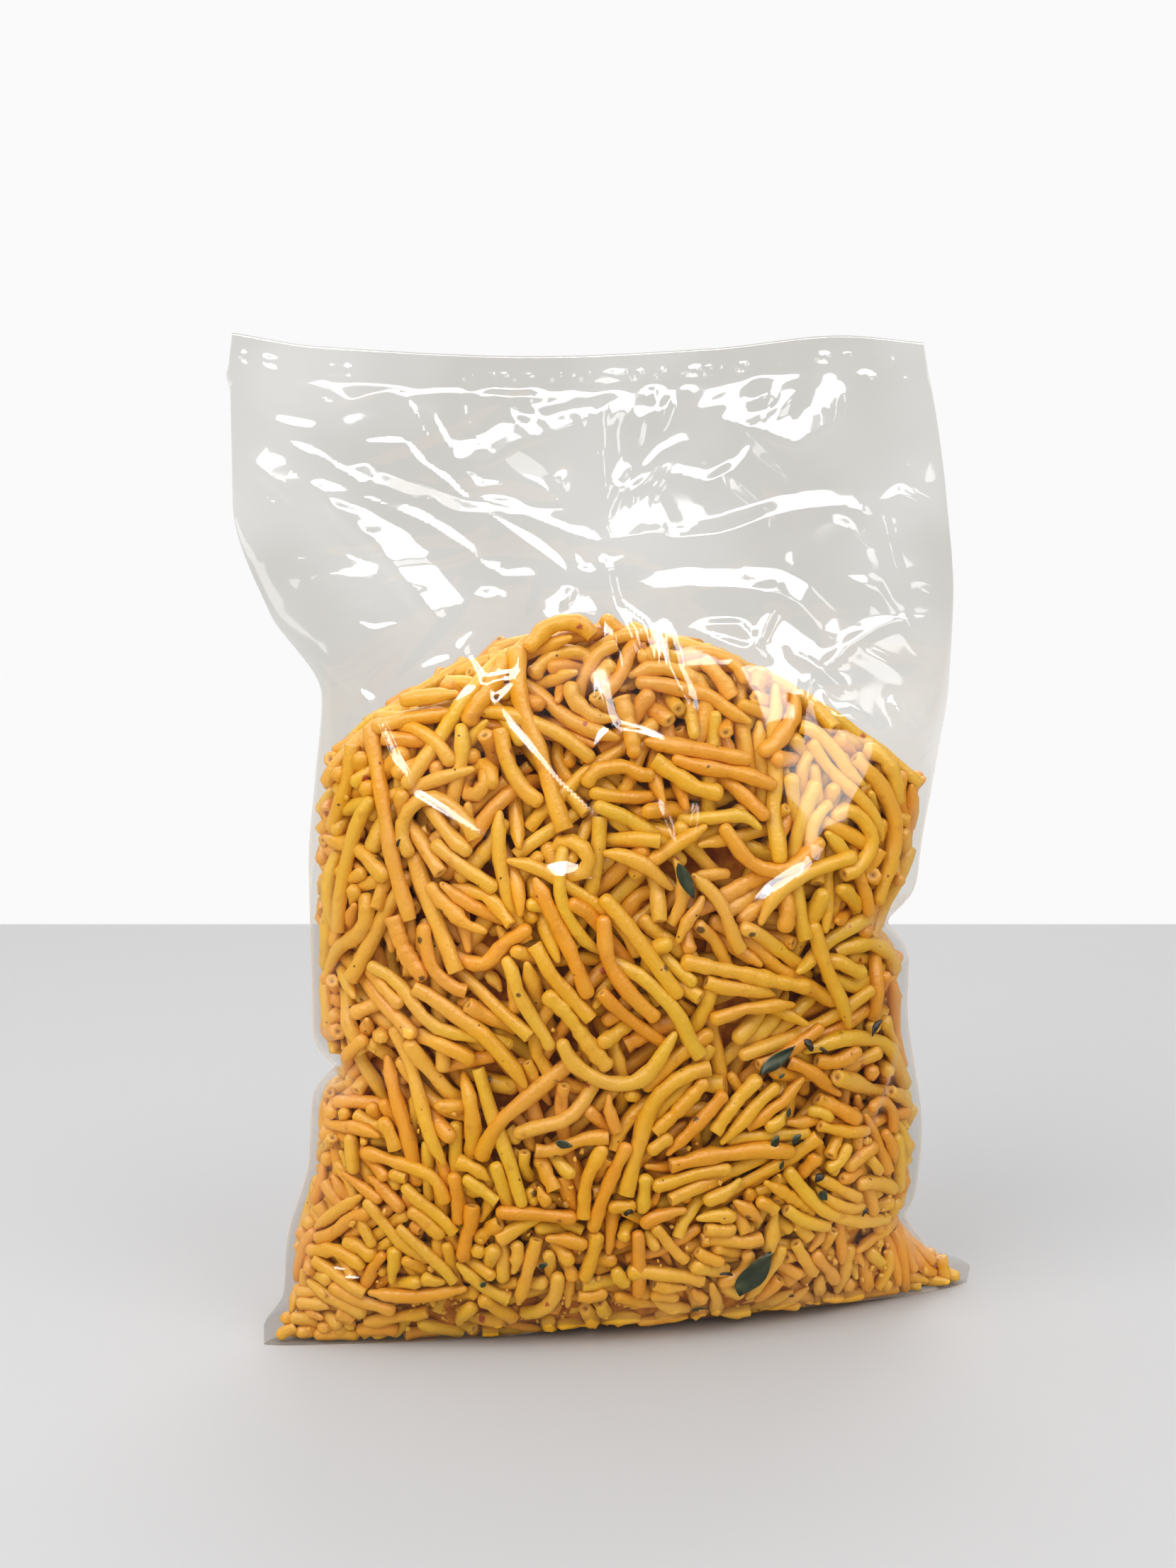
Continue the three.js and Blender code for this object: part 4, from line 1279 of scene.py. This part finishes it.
studio = {
    "table": (0.434, 0.434, 0.439),
    "tableBounce": (0.78, 0.76, 0.72),  # its colour to what it lights from below
    "tableMirrored": (0.12, 1.0),  # the part of its brightness that the film mirrors, in front and behind
    "tableHalf": 1.6,
    "tableBack": 0.64,  # where the table ends, behind the bag
    "aim": (0, 0, 0.17),  # where the panels point
    "backdrop": 0.955,
    "sky": 0.915,  # how bright the room is to what it lights
    "mirrored": (0.05, 0.9),  # how bright the room looks in the film, in front and behind
    # name, degrees round from straight in front, degrees up, distance, width, height, power, and
    # whether it lights the sticks or only shows in what is glossy
    "panels": [
        ("leftPanel", -52, 38, 1.6, 1.2, 1.0, 18, True),
        ("rightPanel", 32, 50, 1.6, 0.8, 0.7, 6, True),
        ("backPanel", 160, 48, 1.7, 0.9, 0.5, 8, True),
        ("leftGlint", -38, 50, 1.6, 1.1, 0.5, 26, False),
        ("frontGlint", 5, 54, 1.6, 1.1, 0.45, 20, False),
        ("rightGlint", 48, 44, 1.6, 0.8, 0.75, 18, False),
        ("windowGlint", 46, 17, 1.5, 0.42, 0.4, 2.8, False),
        ("backLeftGlint", 142, 50, 1.6, 1.1, 0.5, 22, False),
        ("backGlint", 185, 52, 1.6, 1.1, 0.45, 18, False),
        ("backRightGlint", 228, 43, 1.6, 0.8, 0.8, 16, False),
    ],
}


def aim(piece, target):
    # turned so that its -Z looks at the target
    piece.rotation_euler = (Vector(target) - piece.location).to_track_quat("-Z", "Y").to_euler()


def direction(around, up):
    # the way out from the bag, in degrees round from straight in front and up
    around, up = math.radians(around), math.radians(up)
    return Vector((math.sin(around) * math.cos(up), -math.cos(around) * math.cos(up), math.sin(up)))


def tableTop():
    # a level sheet turned to face the camera, dimmer in the film's mirror in front than behind
    turn = math.radians(view["turn"])
    half, far = studio["tableHalf"], studio["tableBack"]
    corners = [(-half, -half, 0), (half, -half, 0), (half, far, 0), (-half, far, 0)]
    mesh = bpy.data.meshes.new("tableTop")
    mesh.from_pydata([(x * math.cos(turn) - y * math.sin(turn), x * math.sin(turn) + y * math.cos(turn), z)
                      for x, y, z in corners], [], [(0, 1, 2, 3)])
    table = linked("tableTop", mesh)
    material, add = newMaterial("paleTable")
    path = add("LightPath")
    colour = blended(add, path.outputs["Is Diffuse Ray"], (*studio["table"], 1), (*studio["tableBounce"], 1))
    shader = add("BsdfPrincipled", {"Base Color": colour, "Roughness": 0.8, "Specular IOR Level": 0.1})
    behind = add("SeparateXYZ", {"Vector": add("TexCoord").outputs["Object"]}).outputs["Y"]
    part = between(add, behind, -0.12, 0.1, *studio["tableMirrored"])
    mirrored = blended(add, part, (0, 0, 0, 1), (*studio["table"], 1))
    dim = add("BsdfDiffuse", {"Color": mirrored})
    both = mixShaders(add, path.outputs["Is Glossy Ray"], shader, dim)
    add("OutputMaterial", {"Surface": both.outputs["Shader"]})
    mesh.materials.append(material)


def roomLight():
    # the camera sees a white backdrop, the film mirrors a room that is dim in front and bright behind
    world = bpy.data.worlds.new("studio")
    bpy.context.scene.world = world
    world.use_nodes = True
    world.node_tree.nodes.clear()
    add = nodeMaker(world.node_tree)
    path = add("LightPath")
    away = add("SeparateXYZ", {"Vector": add("TexCoord").outputs["Generated"]}).outputs["Y"]
    mirrored = between(add, away, -0.1, 0.35, *studio["mirrored"], interpolation_type="SMOOTHSTEP")
    seen, gloss, lit = (add("Background", {"Color": (1, 1, 1, 1), "Strength": strength})
                        for strength in (studio["backdrop"], mirrored, studio["sky"]))
    notSeen = mixShaders(add, path.outputs["Is Glossy Ray"], lit, gloss)
    both = mixShaders(add, path.outputs["Is Camera Ray"], notSeen, seen)
    add("OutputWorld", {"Surface": both.outputs["Shader"]})


def panels():
    # area lights round the bag: those that light it don't show in the film, and the others only do
    aimedAt = Vector(studio["aim"])
    for name, around, up, far, width, height, power, lights in studio["panels"]:
        data = bpy.data.lights.new(name, "AREA")
        data.shape = "RECTANGLE"
        data.size, data.size_y = width, height
        data.energy = power
        lamp = linked(name, data)
        lamp.visible_diffuse = lights
        lamp.visible_glossy = not lights
        lamp.location = direction(around, up) * far + aimedAt
        aim(lamp, aimedAt)


def photoView():
    # a camera at the photograph's angle
    data = bpy.data.cameras.new("photoView")
    data.lens = view["lens"]
    data.sensor_fit = "VERTICAL"
    data.sensor_height = photo["sensor"]
    camera = linked("photoView", data)
    target = Vector(view["target"]) * mm
    camera.location = target + direction(view["turn"], view["rise"]) * view["distance"] * mm
    aim(camera, target)
    bpy.context.scene.camera = camera
    bpy.context.scene.view_settings.view_transform = "Standard"


tableTop()
roomLight()
panels()
photoView()
print("stage and lights set")
